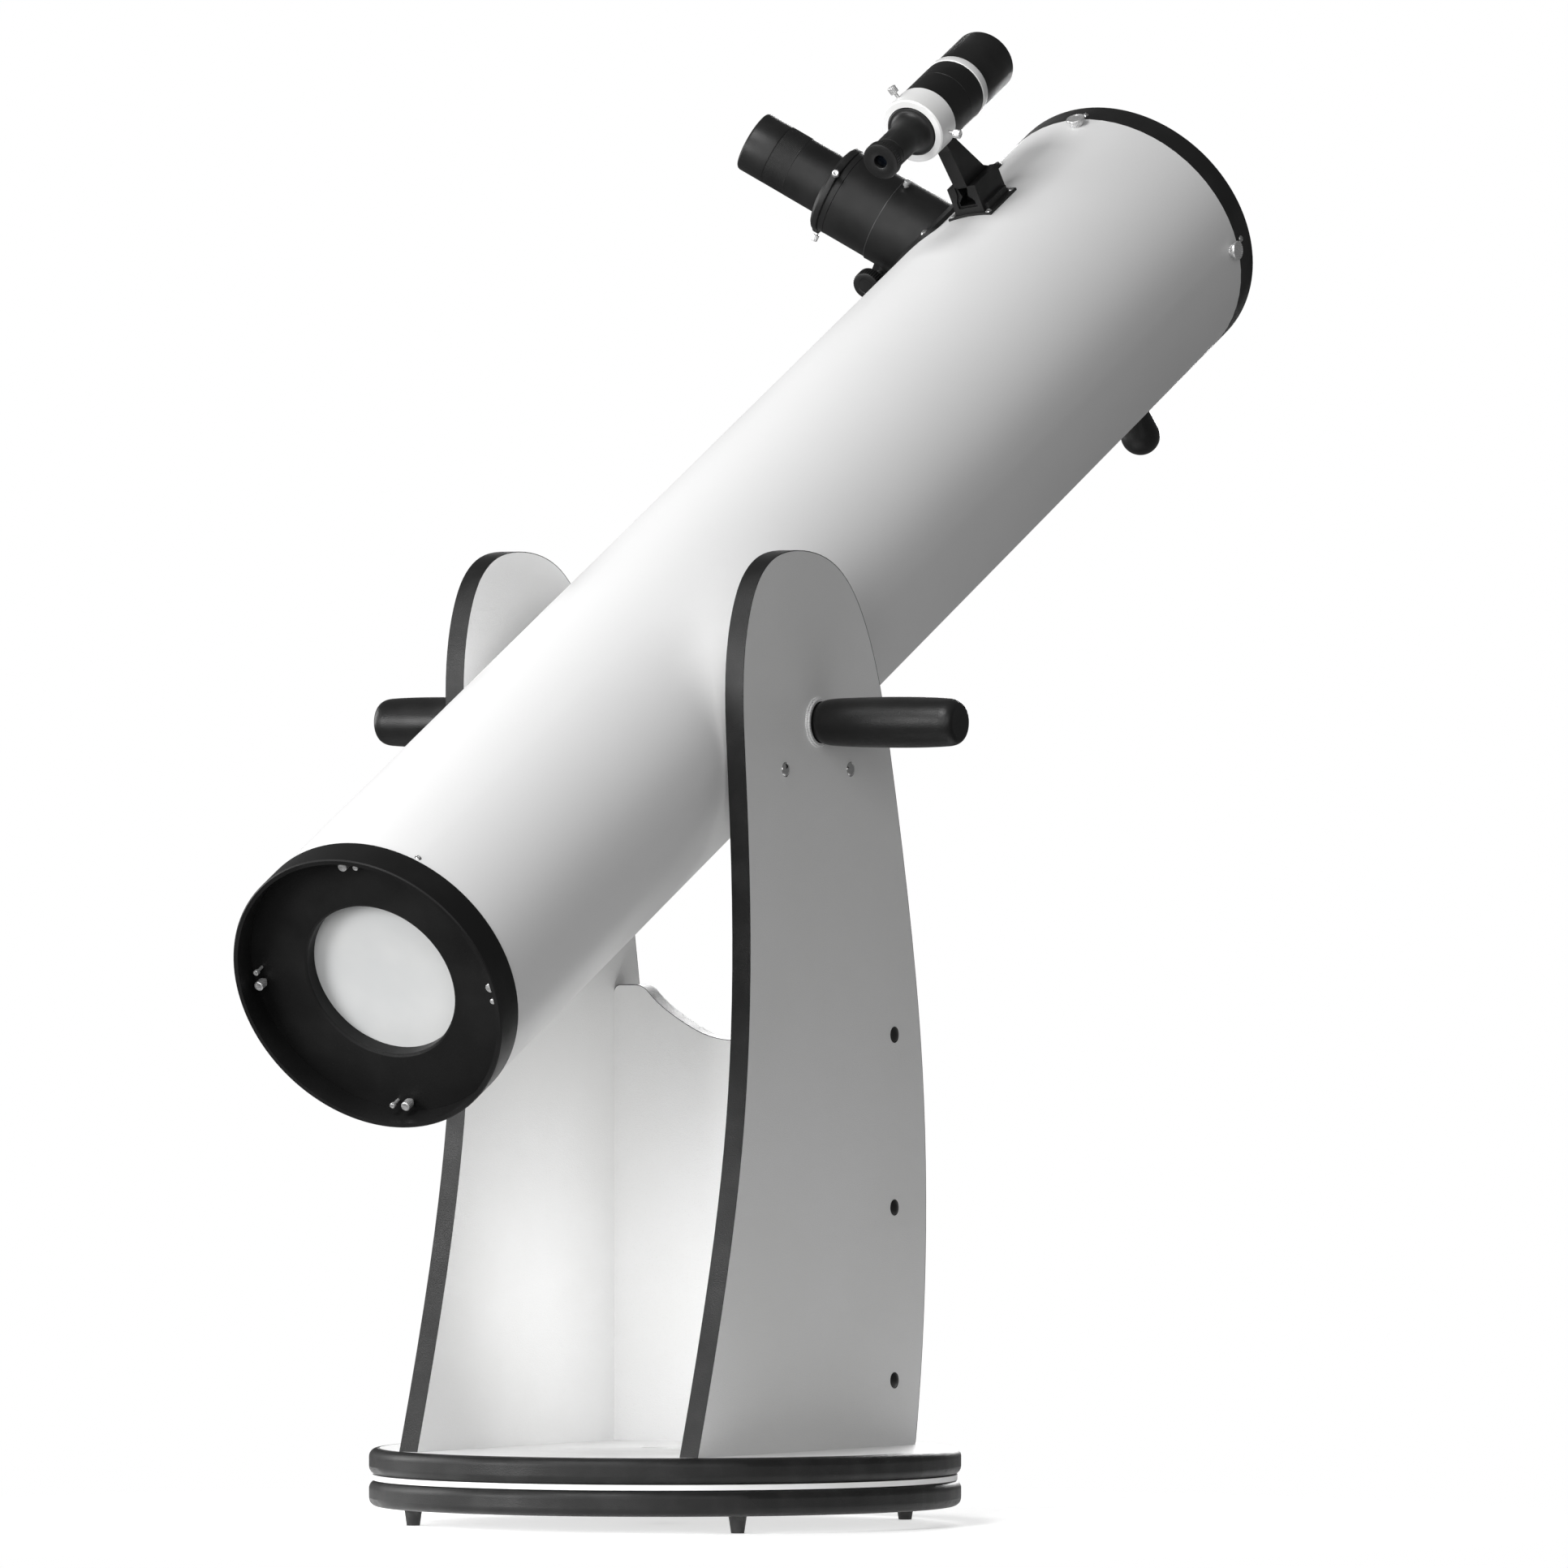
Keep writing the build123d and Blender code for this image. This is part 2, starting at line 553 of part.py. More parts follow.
def mirror_cell():
    screw_spots = [spoke(along(PLATE_S), a, COLLIMATION_R).origin for a in COLLIMATION]
    lock_spots = [spoke(along(PLATE_S), a + LOCK_TURN, COLLIMATION_R).origin for a in COLLIMATION]
    screws = [Plane(p, x_dir=TUBE.x_dir, z_dir=-TUBE.z_dir) for p in screw_spots]
    locks = [Plane(p, x_dir=TUBE.x_dir, z_dir=-TUBE.z_dir) for p in lock_spots]

    with BuildPart() as cell_plate:
        lip_r = PLATE_HOLE_R + 2.6
        turn(along(PLATE_S), [(PLATE_HOLE_R + 2.0, 0), (114.4, 0), (114.4, PLATE_T), (lip_r, PLATE_T),
                              (lip_r, PLATE_LIP), (PLATE_HOLE_R, PLATE_LIP), (PLATE_HOLE_R, 2.0),
                              (PLATE_HOLE_R + 0.6, 0.6)])
        drill(screws, COLLIMATION_SCREW_R + 0.1, 12.0)
        drill(locks, LOCK_SCREW_R + 0.1, 12.0)
    pieces["cell_plate"] = cell_plate

    with BuildPart() as collimation_screws:
        for plane in screws:
            thumb_screw(plane, 3.9, 8.2, 2.6, COLLIMATION_SCREW_R, 20.0)
    pieces["collimation_screws"] = collimation_screws

    with BuildPart() as lock_screws:
        for plane in locks:
            thumb_screw(plane, 2.3, 3.2, 7.6, LOCK_SCREW_R, 9.0)
    pieces["lock_screws"] = lock_screws

    carrier_s = PLATE_S + PLATE_T + 3.6
    with BuildPart() as mirror_carrier:
        pipe(along(carrier_s), 112.5, MIRROR_R + 0.6, CARRIER_T)
        drill(screws, COLLIMATION_SCREW_R + 0.1, 30.0)
    pieces["mirror_carrier"] = mirror_carrier

    with BuildPart() as collimation_springs:
        for plane in screws:
            pipe(lift(plane, -PLATE_T - 3.5), 4.8, 2.4, 3.4)
    pieces["collimation_springs"] = collimation_springs

    with BuildPart() as primary_mirror:
        front = MIRROR_BACK + MIRROR_T
        with BuildSketch(profile_of(TUBE)):
            with BuildLine():
                Polyline((0, front - MIRROR_SAG), (0, MIRROR_BACK), (MIRROR_R, MIRROR_BACK),
                         (MIRROR_R, front))
                ThreePointArc((MIRROR_R, front), cap_middle(MIRROR_R, front, front - MIRROR_SAG),
                              (0, front - MIRROR_SAG))
            make_face()
        revolve(axis=Axis(TUBE.origin, TUBE.z_dir))
    pieces["primary_mirror"] = primary_mirror

    with BuildPart() as mirror_clips:
        for k in range(3):
            foot = spoke(along(0), 45 + 120 * k, 107.0, carrier_s + CARRIER_T)
            slab(Plane(foot.origin, x_dir=foot.z_dir, z_dir=TUBE.z_dir), 8.0, 14.0,
                 MIRROR_BACK + MIRROR_T + 1.8 - carrier_s - CARRIER_T)
            lip = spoke(along(0), 45 + 120 * k, 104.0, MIRROR_BACK + MIRROR_T + 0.4)
            slab(Plane(lip.origin, x_dir=lip.z_dir, z_dir=TUBE.z_dir), 14.0, 14.0, 2.0)
    pieces["mirror_clips"] = mirror_clips


# ---------------------------------------------------------------- spider and secondary mirror
def spider():
    adjust = [(ADJUST_R * cos(radians(120 * k)), ADJUST_R * sin(radians(120 * k))) for k in range(3)]
    with BuildPart() as spider_vanes:
        disc(along(HUB_FROM), HUB_R, HUB_TO - HUB_FROM)
        for k in range(4):
            arm = spoke(along(0), 90 * k, (HUB_R + 115.0) / 2 - 0.5, HUB_FROM + 5.0)
            slab(Plane(arm.origin, x_dir=arm.z_dir, z_dir=TUBE.z_dir), 115.0 - HUB_R + 1, 0.8, 19.0)
            lug = spoke(along(0), 90 * k, 111.0, SPIDER_S - 5.0)
            slab(Plane(lug.origin, x_dir=lug.z_dir, z_dir=TUBE.z_dir), 8.0, 9.0, 10.0)
        disc(along(HUB_FROM - 1), CENTRE_BOLT_R + 0.1, 40.0, mode=Mode.SUBTRACT)
        for x, y in adjust:
            disc(along(HUB_FROM - 1, x, y), ADJUST_SCREW_R + 0.1, 40.0, mode=Mode.SUBTRACT)
        drill(SPIDER_PLACES, SPIDER_SCREW_R + 0.1, 9.0)
    pieces["spider_vanes"] = spider_vanes

    with BuildPart() as spider_screws:
        for plane in SPIDER_PLACES:
            turn(plane, [(0, -8.0), (SPIDER_SCREW_R, -8.0), (SPIDER_SCREW_R, 0), (5.2, 0), (5.2, 4.8),
                         (8.0, 4.8), (8.0, 6.8), (0, 6.8)])
    pieces["spider_screws"] = spider_screws

    with BuildPart() as secondary_screws:
        for x, y in adjust:
            thumb_screw(along(HUB_TO, x, y), 2.8, 2.6, 0.0, ADJUST_SCREW_R, 30.0)
        thumb_screw(along(HUB_TO), 5.2, 3.4, 0.0, CENTRE_BOLT_R, 40.0)
    pieces["secondary_screws"] = secondary_screws

    focus_point = along(FOCUS_S).origin
    facing = (FOCUS.z_dir - TUBE.z_dir).normalized()
    mirror_face = Plane(focus_point, z_dir=facing)
    mirror_back = Plane(focus_point - facing * SECONDARY_T, z_dir=facing)
    stem_to = HUB_FROM - 1.0
    with BuildPart() as secondary_mirror:
        disc(along(FOCUS_S - 60), SECONDARY_R, 120)
        split(bisect_by=mirror_face, keep=Keep.BOTTOM)
        split(bisect_by=mirror_back, keep=Keep.TOP)
    pieces["secondary_mirror"] = secondary_mirror

    with BuildPart() as secondary_holder:
        disc(along(FOCUS_S - 60), SECONDARY_R - 1.0, STEM_FROM - FOCUS_S + 60)
        split(bisect_by=mirror_back, keep=Keep.BOTTOM)
        disc(along(STEM_FROM), 13.0, stem_to - STEM_FROM)
        disc(along(stem_to - 12), CENTRE_BOLT_R + 0.1, 14.0, mode=Mode.SUBTRACT)
    pieces["secondary_holder"] = secondary_holder


# ---------------------------------------------------------------- focuser
def focuser():
    pinion_place = Plane(FOCUS.origin + FOCUS.z_dir * PINION_Z + FOCUS.y_dir * PINION_Y,
                         x_dir=FOCUS.y_dir, z_dir=FOCUS.x_dir)
    lock_place = spoke(FOCUS, 270.0, FOCUS_BASE_R, FOCUS_SEAM - 4.5)
    slot = Plane(FOCUS.origin + FOCUS.y_dir * (RACK_Y + SLIP - 3.0) + FOCUS.z_dir * 90,
                 x_dir=FOCUS.x_dir, z_dir=FOCUS.z_dir)
    with BuildPart() as flange:
        pipe(along(FOCUS_S - 90), TUBE_R + FLANGE_T, TUBE_R, 180)
        with BuildSketch(lift(FOCUS, 40)):
            width = 2 * (TUBE_R + FLANGE_T) * sin(radians(FLANGE_HALF))
            RectangleRounded(FLANGE_L, width, 16.0)
        extrude(amount=120, mode=Mode.INTERSECT)
    with BuildPart() as focuser_base:
        disc(lift(FOCUS, 90), FOCUS_BASE_R, FOCUS_SEAM - 90)
        housing = Plane(FOCUS.origin + FOCUS.y_dir * 33.0 + FOCUS.z_dir * 90,
                        x_dir=FOCUS.x_dir, z_dir=FOCUS.z_dir)
        slab(housing, 46.0, 20.0, PINION_Z + 7.5 - 90)
        add(flange.part)
        disc(along(FOCUS_S - 90), TUBE_R, 180, mode=Mode.SUBTRACT)
        disc(lift(FOCUS, 80), DRAW_R + FIT, 90, mode=Mode.SUBTRACT)
        slab(slot, RACK_SLOT, 6.0, 80, mode=Mode.SUBTRACT)
        disc(lift(pinion_place, -7.0), PINION_R + 0.6, 14.0, mode=Mode.SUBTRACT)
        disc(lift(pinion_place, -40.0), AXLE_R + FIT, 80.0, mode=Mode.SUBTRACT)
        drill([lock_place], THUMB_R + 0.1, 12.0)
        drill(FLANGE_SCREWS, FLANGE_SCREW_R + 0.1, 12.0)
    pieces["focuser_base"] = focuser_base

    with BuildPart() as focuser_body:
        pipe(lift(FOCUS, FOCUS_SEAM), FOCUS_BODY_R, DRAW_R + FIT, FOCUS_TOP - FOCUS_SEAM)
        slab(slot, RACK_SLOT, 6.0, 130, mode=Mode.SUBTRACT)
    pieces["focuser_body"] = focuser_body

    with BuildPart() as focus_lock_screw:
        thumb_screw(lock_place, 2.9, 5.0, 1.6, THUMB_R, 8.3)
    pieces["focus_lock_screw"] = focus_lock_screw

    with BuildPart() as drawtube:
        pipe(lift(FOCUS, 96.0), DRAW_R, BARREL_R + FIT, FOCUS_TOP + 0.3 - 96.0)
        rack = Plane(FOCUS.origin + FOCUS.y_dir * (RACK_Y - 1.2) + FOCUS.z_dir * 124.0,
                     x_dir=FOCUS.x_dir, z_dir=FOCUS.z_dir)
        slab(rack, 8.0, 2.4, FOCUS_TOP - 2 - 124.0)
        disc(lift(FOCUS, 90.0), BARREL_R + FIT, 130.0, mode=Mode.SUBTRACT)
    pieces["drawtube"] = drawtube

    collar_from = FOCUS_TOP + 0.3
    collar_places = [spoke(FOCUS, a, COLLAR_REACH, collar_from + COLLAR_T / 2) for a in COLLAR_LOBES[:2]]
    with BuildPart() as drawtube_collar:
        disc(lift(FOCUS, collar_from), 38.4, COLLAR_T)
        for angle in COLLAR_LOBES:
            with BuildSketch(lift(FOCUS, collar_from)):
                with PolarLocations(COLLAR_REACH - 7.5, 1, start_angle=angle):
                    Circle(7.5)
            extrude(amount=COLLAR_T)
        chamfer(drawtube_collar.faces().sort_by(Axis(FOCUS.origin, FOCUS.z_dir))[-1].edges(), 1.6)
        disc(lift(FOCUS, collar_from - 1), BARREL_R + FIT, COLLAR_T + 2, mode=Mode.SUBTRACT)
        drill(collar_places, THUMB_R + 0.1, 20.0)
    pieces["drawtube_collar"] = drawtube_collar

    with BuildPart() as collar_screws:
        for plane in collar_places:
            thumb_screw(plane, 2.9, 5.6, 1.6, THUMB_R, COLLAR_REACH - BARREL_R - 0.4)
    pieces["collar_screws"] = collar_screws

    with BuildPart() as pinion_shaft:
        disc(lift(pinion_place, -KNOB_X - 6), AXLE_R, 2 * KNOB_X + 12)
        disc(lift(pinion_place, -6.5), PINION_R, 13.0)
    pieces["pinion_shaft"] = pinion_shaft

    with BuildPart() as focus_knobs:
        for hand in (-1, 1):
            face = Plane(pinion_place.origin + pinion_place.z_dir * hand * KNOB_X,
                         x_dir=pinion_place.x_dir, z_dir=pinion_place.z_dir * hand)
            turn(face, [(AXLE_R, -4.0), (6.0, -4.0), (6.0, 0), (KNOB_R - 0.8, 0), (KNOB_R, 0.8),
                        (KNOB_R, 9.2), (KNOB_R - 0.8, 10.0), (0, 10.0), (0, 6.0), (AXLE_R, 6.0)])
    pieces["focus_knobs"] = focus_knobs


def eyepiece():
    with BuildPart() as eyepiece_barrel:
        turn(FOCUS, [(24.0, 190.0), (BARREL_R, 190.0), (BARREL_R, BARREL_END - 2.6),
                     (BARREL_R - 2.6, BARREL_END), (15.0, BARREL_END), (15.0, BARREL_END - 4.0),
                     (20.0, BARREL_END - 10.0), (24.0, BARREL_END - 10.0)])
    pieces["eyepiece_barrel"] = eyepiece_barrel

    with BuildPart() as eyepiece_lenses:
        turn(FOCUS, [(0, BARREL_END - 7.0), (15.8, BARREL_END - 7.0), (14.9, BARREL_END - 4.2),
                     (8.0, BARREL_END - 3.2), (0, BARREL_END - 3.0)])
        turn(FOCUS, [(0, 196.0), (14.0, 195.0), (23.95, 194.0), (23.95, 198.0), (14.0, 201.0),
                     (0, 202.0)])
    pieces["eyepiece_lenses"] = eyepiece_lenses


# ---------------------------------------------------------------- finder
def finder():
    with BuildPart() as finder_shoe:
        pipe(along(SHOE_FROM - 20), TUBE_R + SHOE_PLATE_T, TUBE_R, SHOE_TO - SHOE_FROM + 40)
        with BuildSketch(lift(SHOE, 80)):
            Rectangle(SHOE_PLATE_L, SHOE_PLATE_W)
        extrude(amount=60, mode=Mode.INTERSECT)
        slab(lift(SHOE, TUBE_R - 1), SHOE_TO - SHOE_FROM, SHOE_W, SHOE_TOP - TUBE_R + 1)
        slab(lift(SHOE, TUBE_R - 1), SHOE_TO - SHOE_FROM - 8, SHOE_FOOT_W, SHOE_FOOT_TOP - TUBE_R + 1)
        disc(along(SHOE_FROM - 20), TUBE_R, SHOE_TO - SHOE_FROM + 40, mode=Mode.SUBTRACT)
        dovetail(SHOE_FROM - 1, SHOE_TO + 1, 0.15, Mode.SUBTRACT)
        drill(SHOE_SCREWS, RING_SCREW_R + 0.1, 12.0)
        drill([shoe_lock_place()], 2.1, 12.0)
    pieces["finder_shoe"] = finder_shoe

    with BuildPart() as shoe_lock_screw:
        thumb_screw(shoe_lock_place(), 6.0, 5.0, 1.5, 2.0, 4.2)
    pieces["shoe_lock_screw"] = shoe_lock_screw

    ring_bore = FINDER_SEAT_R + 0.7
    with BuildPart() as finder_ring:
        turn(FINDER, [(ring_bore, RING_FROM), (FINDER_R - 0.6, RING_FROM), (FINDER_R + 0.6, RING_FROM + 1.2),
                      (FINDER_R + 0.6, RING_TO), (ring_bore, RING_TO)])
        drill(finder_screw_places(), THUMB_R + 0.1, 12.0)
        drill([plunger_place()], PLUNGER_R + 0.1, 12.0)
    pieces["finder_ring"] = finder_ring

    with BuildPart() as finder_stalk:
        pipe(lift(FINDER, RING_TO), FINDER_R, ring_bore, SLEEVE_TO - RING_TO)
        web()
        dovetail(SHOE_FROM + BAR_INSET, SHOE_TO - BAR_INSET, 0.0, Mode.ADD)
        disc(lift(FINDER, RING_TO - 1), ring_bore, SLEEVE_TO - RING_TO + 2, mode=Mode.SUBTRACT)
        foot_pocket(12.0)
    pieces["finder_stalk"] = finder_stalk

    with BuildPart() as finder_screws:
        for plane in finder_screw_places():
            thumb_screw(plane, 3.8, 6.4, 4.4, THUMB_R, 6.4)
        thumb_screw(plunger_place(), 4.4, 4.0, 0.0, PLUNGER_R, 6.4)
    pieces["finder_screws"] = finder_screws

    with BuildPart() as finder_body:
        seat = RING_FROM - 0.5
        turn(FINDER, [(11.4, 8.0), (FINDER_NECK_R, 8.0), (FINDER_NECK_R, seat - 11.4), (15.2, seat - 5.4),
                      (18.0, seat - 0.9), (FINDER_SEAT_R, seat), (FINDER_SEAT_R, SLEEVE_TO + 0.3),
                      (FINDER_R, SLEEVE_TO + 0.3), (FINDER_R, BAND_FROM), (24.4, BAND_FROM),
                      (24.4, SLEEVE_TO + 4), (19.0, SLEEVE_TO + 2), (19.0, seat + 2.6), (11.4, seat - 3.4)])
    pieces["finder_body"] = finder_body

    with BuildPart() as finder_band:
        pipe(lift(FINDER, BAND_FROM), FINDER_R + 0.4, 23.0, BAND_TO - BAND_FROM)
    pieces["finder_band"] = finder_band

    with BuildPart() as finder_dew_shield:
        turn(FINDER, [(24.2, BAND_TO), (HOOD_R, BAND_TO), (HOOD_R, HOOD_TO - 0.8), (HOOD_R - 0.8, HOOD_TO),
                      (24.2, HOOD_TO)])
    pieces["finder_dew_shield"] = finder_dew_shield

    with BuildPart() as finder_lenses:
        front = BAND_FROM + 1.5
        turn(FINDER, [(0, front), (22.95, front + 1.5), (22.95, front + 5.5), (0, front + 7.0)])
        turn(FINDER, [(0, 8.0), (9.55, 9.0), (9.55, 12.0), (0, 13.5)])
    pieces["finder_lenses"] = finder_lenses

    with BuildPart() as finder_eyepiece:
        turn(FINDER, [(5.8, 0), (14.9, 0), (15.9, 1.0), (15.9, 7.2), (15.1, 8.0), (11.3, 8.0), (11.3, 22.0),
                      (9.6, 22.0), (9.6, 5.0), (5.8, 3.0)])
    pieces["finder_eyepiece"] = finder_eyepiece


def dovetail(start, end, gap, mode):
    """Dovetail bar along the tube under the finder, or with a gap its slot."""
    up = outward(start, FINDER_PSI)
    low, high = 124.0 - gap, SHOE_TOP + (2.0 if mode == Mode.SUBTRACT else 0.0)
    with BuildSketch(Plane(up.origin, x_dir=up.y_dir, z_dir=up.x_dir)) as face:
        with BuildLine():
            Polyline((-9.0 - gap, low), (9.0 + gap, low), (9.0 + gap, low + 6.0), (6.2 + gap, 136.0),
                     (6.2 + gap, high), (-6.2 - gap, high), (-6.2 - gap, 136.0), (-9.0 - gap, low + 6.0),
                     close=True)
        make_face()
    extrude(face.sketch, amount=end - start, mode=mode)


def foot_pocket(depth):
    """Waisted hollow in the rear end of the dovetail bar."""
    up = outward(SHOE_FROM + BAR_INSET, FINDER_PSI)
    with BuildSketch(Plane(up.origin, x_dir=up.y_dir, z_dir=up.x_dir)) as face:
        with BuildLine():
            Polyline((-7.4, 125.6), (7.4, 125.6), (7.4, 128.8), (2.8, 134.0), (4.6, 141.2), (-4.6, 141.2),
                     (-2.8, 134.0), (-7.4, 128.8), close=True)
        make_face()
    extrude(face.sketch, amount=depth, mode=Mode.SUBTRACT)


def web():
    """Tapered post from the dovetail up to the sleeve, seen square to the tube's radius."""
    up = outward(0, FINDER_PSI)
    with BuildSketch(Plane(up.origin + up.y_dir * POST_T / 2, x_dir=up.x_dir, z_dir=-up.y_dir)) as face:
        with BuildLine():
            Polyline((SHOE_FROM, SHOE_TOP), (SHOE_FROM - 4.3, 178.0), (648.4, 190.0),
                     (668.5, 190.0), (667.5, 181.0), (690.5, 146.5), (SHOE_TO - BAR_INSET, SHOE_TOP),
                     close=True)
        make_face()
    extrude(face.sketch, amount=POST_T)


def shoe_lock_place():
    """On the shoe's left wall, level with the dovetail."""
    spot = outward((SHOE_FROM + SHOE_TO) / 2, FINDER_PSI, 131.0)
    left = (TUBE.x_dir - spot.z_dir * TUBE.x_dir.dot(spot.z_dir)).normalized()
    return Plane(spot.origin + left * SHOE_W / 2, x_dir=spot.x_dir, z_dir=left)


def finder_screw_places():
    """The two alignment screws of the finder's ring."""
    middle = (RING_FROM + RING_TO) / 2
    return [spoke(FINDER, angle, FINDER_R + 0.6, middle) for angle in FINDER_SCREWS]


def plunger_place():
    return spoke(FINDER, FINDER_PLUNGER, FINDER_R + 0.6, (RING_FROM + RING_TO) / 2)


ground()
rocker_base()
rocker_sides()
handles()
tube()
side_bearings()
mirror_cell()
spider()
focuser()
eyepiece()
finder()

os.makedirs("parts", exist_ok=True)
for name, piece in pieces.items():
    part = piece.part.moved(Location((0, -MIDDLE_Y, 0)))
    part.label = name
    export_step(part, f"parts/{name}.step")
print(len(pieces), "pieces")
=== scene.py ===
"""Looks of a dobsonian telescope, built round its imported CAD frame.

Metres, +Z up, and the tube points towards +Y and up.
"""

import json
from math import cos, hypot, pi, radians, sin

import bmesh
import bpy
from mathutils import Matrix, Vector


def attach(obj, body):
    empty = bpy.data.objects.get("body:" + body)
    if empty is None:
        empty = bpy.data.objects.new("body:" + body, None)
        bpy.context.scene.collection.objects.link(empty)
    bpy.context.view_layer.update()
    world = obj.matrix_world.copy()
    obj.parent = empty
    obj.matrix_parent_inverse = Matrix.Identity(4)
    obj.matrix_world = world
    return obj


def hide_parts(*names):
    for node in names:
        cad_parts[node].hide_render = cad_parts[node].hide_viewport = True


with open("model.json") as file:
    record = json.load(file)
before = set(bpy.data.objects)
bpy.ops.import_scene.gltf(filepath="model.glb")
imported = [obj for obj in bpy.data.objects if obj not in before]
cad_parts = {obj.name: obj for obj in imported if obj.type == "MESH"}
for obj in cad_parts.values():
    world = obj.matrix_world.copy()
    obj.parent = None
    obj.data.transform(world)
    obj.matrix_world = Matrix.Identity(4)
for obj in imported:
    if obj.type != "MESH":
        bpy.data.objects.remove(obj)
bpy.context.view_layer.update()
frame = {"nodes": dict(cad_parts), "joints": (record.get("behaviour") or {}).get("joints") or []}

# ---------------------------------------------------------------- places, as part.py has them, in metres
joints = {j["name"]: j for j in frame["joints"]}
RIGHT = Vector((1, 0, 0))
ALT = Vector(joints["altitude"]["pos_m"])
TUBE_DIR = -Vector(joints["finder_slide"]["axis"]).normalized()
TUBE_UP = RIGHT.cross(TUBE_DIR)
BASE_Y = -0.151  # middle of the round base
AXIS_UP = 0.022  # the tube's axis above the altitude axis
TUBE_R = 0.1175
PANEL_OUT = 0.1381  # outer face of a side panel from the middle
STUD_FLANGE_R, STUD_SHANK_R = 0.0192, 0.005

# Stations run along the tube from the altitude axis, and psi is degrees round it from its top.
CELL_SCREW_S, CELL_SCREW_PSI = -0.481, (-28.8, -145.0, 93.0)
FRONT_SCREW_S, FRONT_SCREW_PSI = 0.8455, (0.8, 90.8, 180.8, 270.8)
QUARTERS = (0, 90, 180, 270)
SPIDER_S = 0.8265
HUB_S = 0.838
PLATE_FACE = -0.493
PLATE_SCREW_RING = 0.106  # the cell plate's screws stand on this radius
MIRROR_BACK, MIRROR_R, MIRROR_T, MIRROR_SAG = -0.4789, 0.1016, 0.030, 0.0018
GUIDE_KNOB_S = 0.8072

# Heights on the focuser run outward from the tube's axis.
FOCUS_S, FOCUS_PSI = 0.7110, 56.06
BODY_R, JOINT_LINE = 0.0371, 0.1578
COLLAR_FROM, COLLAR_T, COLLAR_TIP = 0.1989, 0.0142, 0.0414
COLLAR_LOBES = (110.0, 230.0, 350.0)  # degrees round the focuser, with a clamp on the first two
EYEPIECE_R, EYEPIECE_END = 0.0265, 0.2906
KNURL_FROM, KNURL_TO = 0.2462, 0.2658

# Heights on the finder run from its eyecup to its hood.
FINDER_S, FINDER_OUT, FINDER_PSI = 0.5603, 0.2128, 8.0
FINDER_R, HOOD_R = 0.0276, 0.0270
RING_FROM, RING_TO, SLEEVE_TO = 0.0585, 0.0834, 0.1137
BAND_FROM, BAND_TO, HOOD_TO = 0.1367, 0.1461, 0.1954


def place(origin, z, x):
    """Matrix of a place whose local z and x point those ways."""
    z, x = z.normalized(), x.normalized()
    y = z.cross(x)
    return Matrix(((x.x, y.x, z.x, origin.x), (x.y, y.y, z.y, origin.y), (x.z, y.z, z.z, origin.z),
                   (0, 0, 0, 1)))


TUBE = place(ALT + TUBE_UP * AXIS_UP, TUBE_DIR, -RIGHT)


def along(station, x=0.0, y=0.0):
    """Square to the tube at a station, with x to the left and y up."""
    return place(TUBE @ Vector((x, y, station)), TUBE_DIR, -RIGHT)


def outward(station, psi, radius=0.0):
    """Facing away from the tube's axis, psi degrees from its top, with x along the tube."""
    away = -RIGHT * sin(radians(psi)) + TUBE_UP * cos(radians(psi))
    return place(TUBE @ Vector((0, 0, station)) + away * radius, away, TUBE_DIR)


def axis_of(here, index):
    """Direction of a place's x, y or z, by its number."""
    return Vector([here[row][index] for row in range(3)])


def lift(here, height):
    """The same place, moved out along its z."""
    return place(here @ Vector((0, 0, height)), axis_of(here, 2), axis_of(here, 0))


def flip(here):
    """The same place, facing the other way."""
    return place(here.to_translation(), -axis_of(here, 2), axis_of(here, 0))


def spoke(here, angle, radius, height=0.0):
    """Facing outward from a place's z axis, at an angle, radius and height in it."""
    away = axis_of(here, 0) * cos(radians(angle)) + axis_of(here, 1) * sin(radians(angle))
    return place(here @ Vector((0, 0, height)) + away * radius, away, axis_of(here, 2))


FOCUS = outward(FOCUS_S, FOCUS_PSI)
FINDER = along(FINDER_S, FINDER_OUT * sin(radians(FINDER_PSI)), FINDER_OUT * cos(radians(FINDER_PSI)))


def panel_side(facing, y=ALT.y, z=ALT.z):
    """On a side panel's outer face, right for 1 and left for -1."""
    return place(Vector((facing * PANEL_OUT, y, z)), Vector((facing, 0, 0)), Vector((0, facing, 0)))


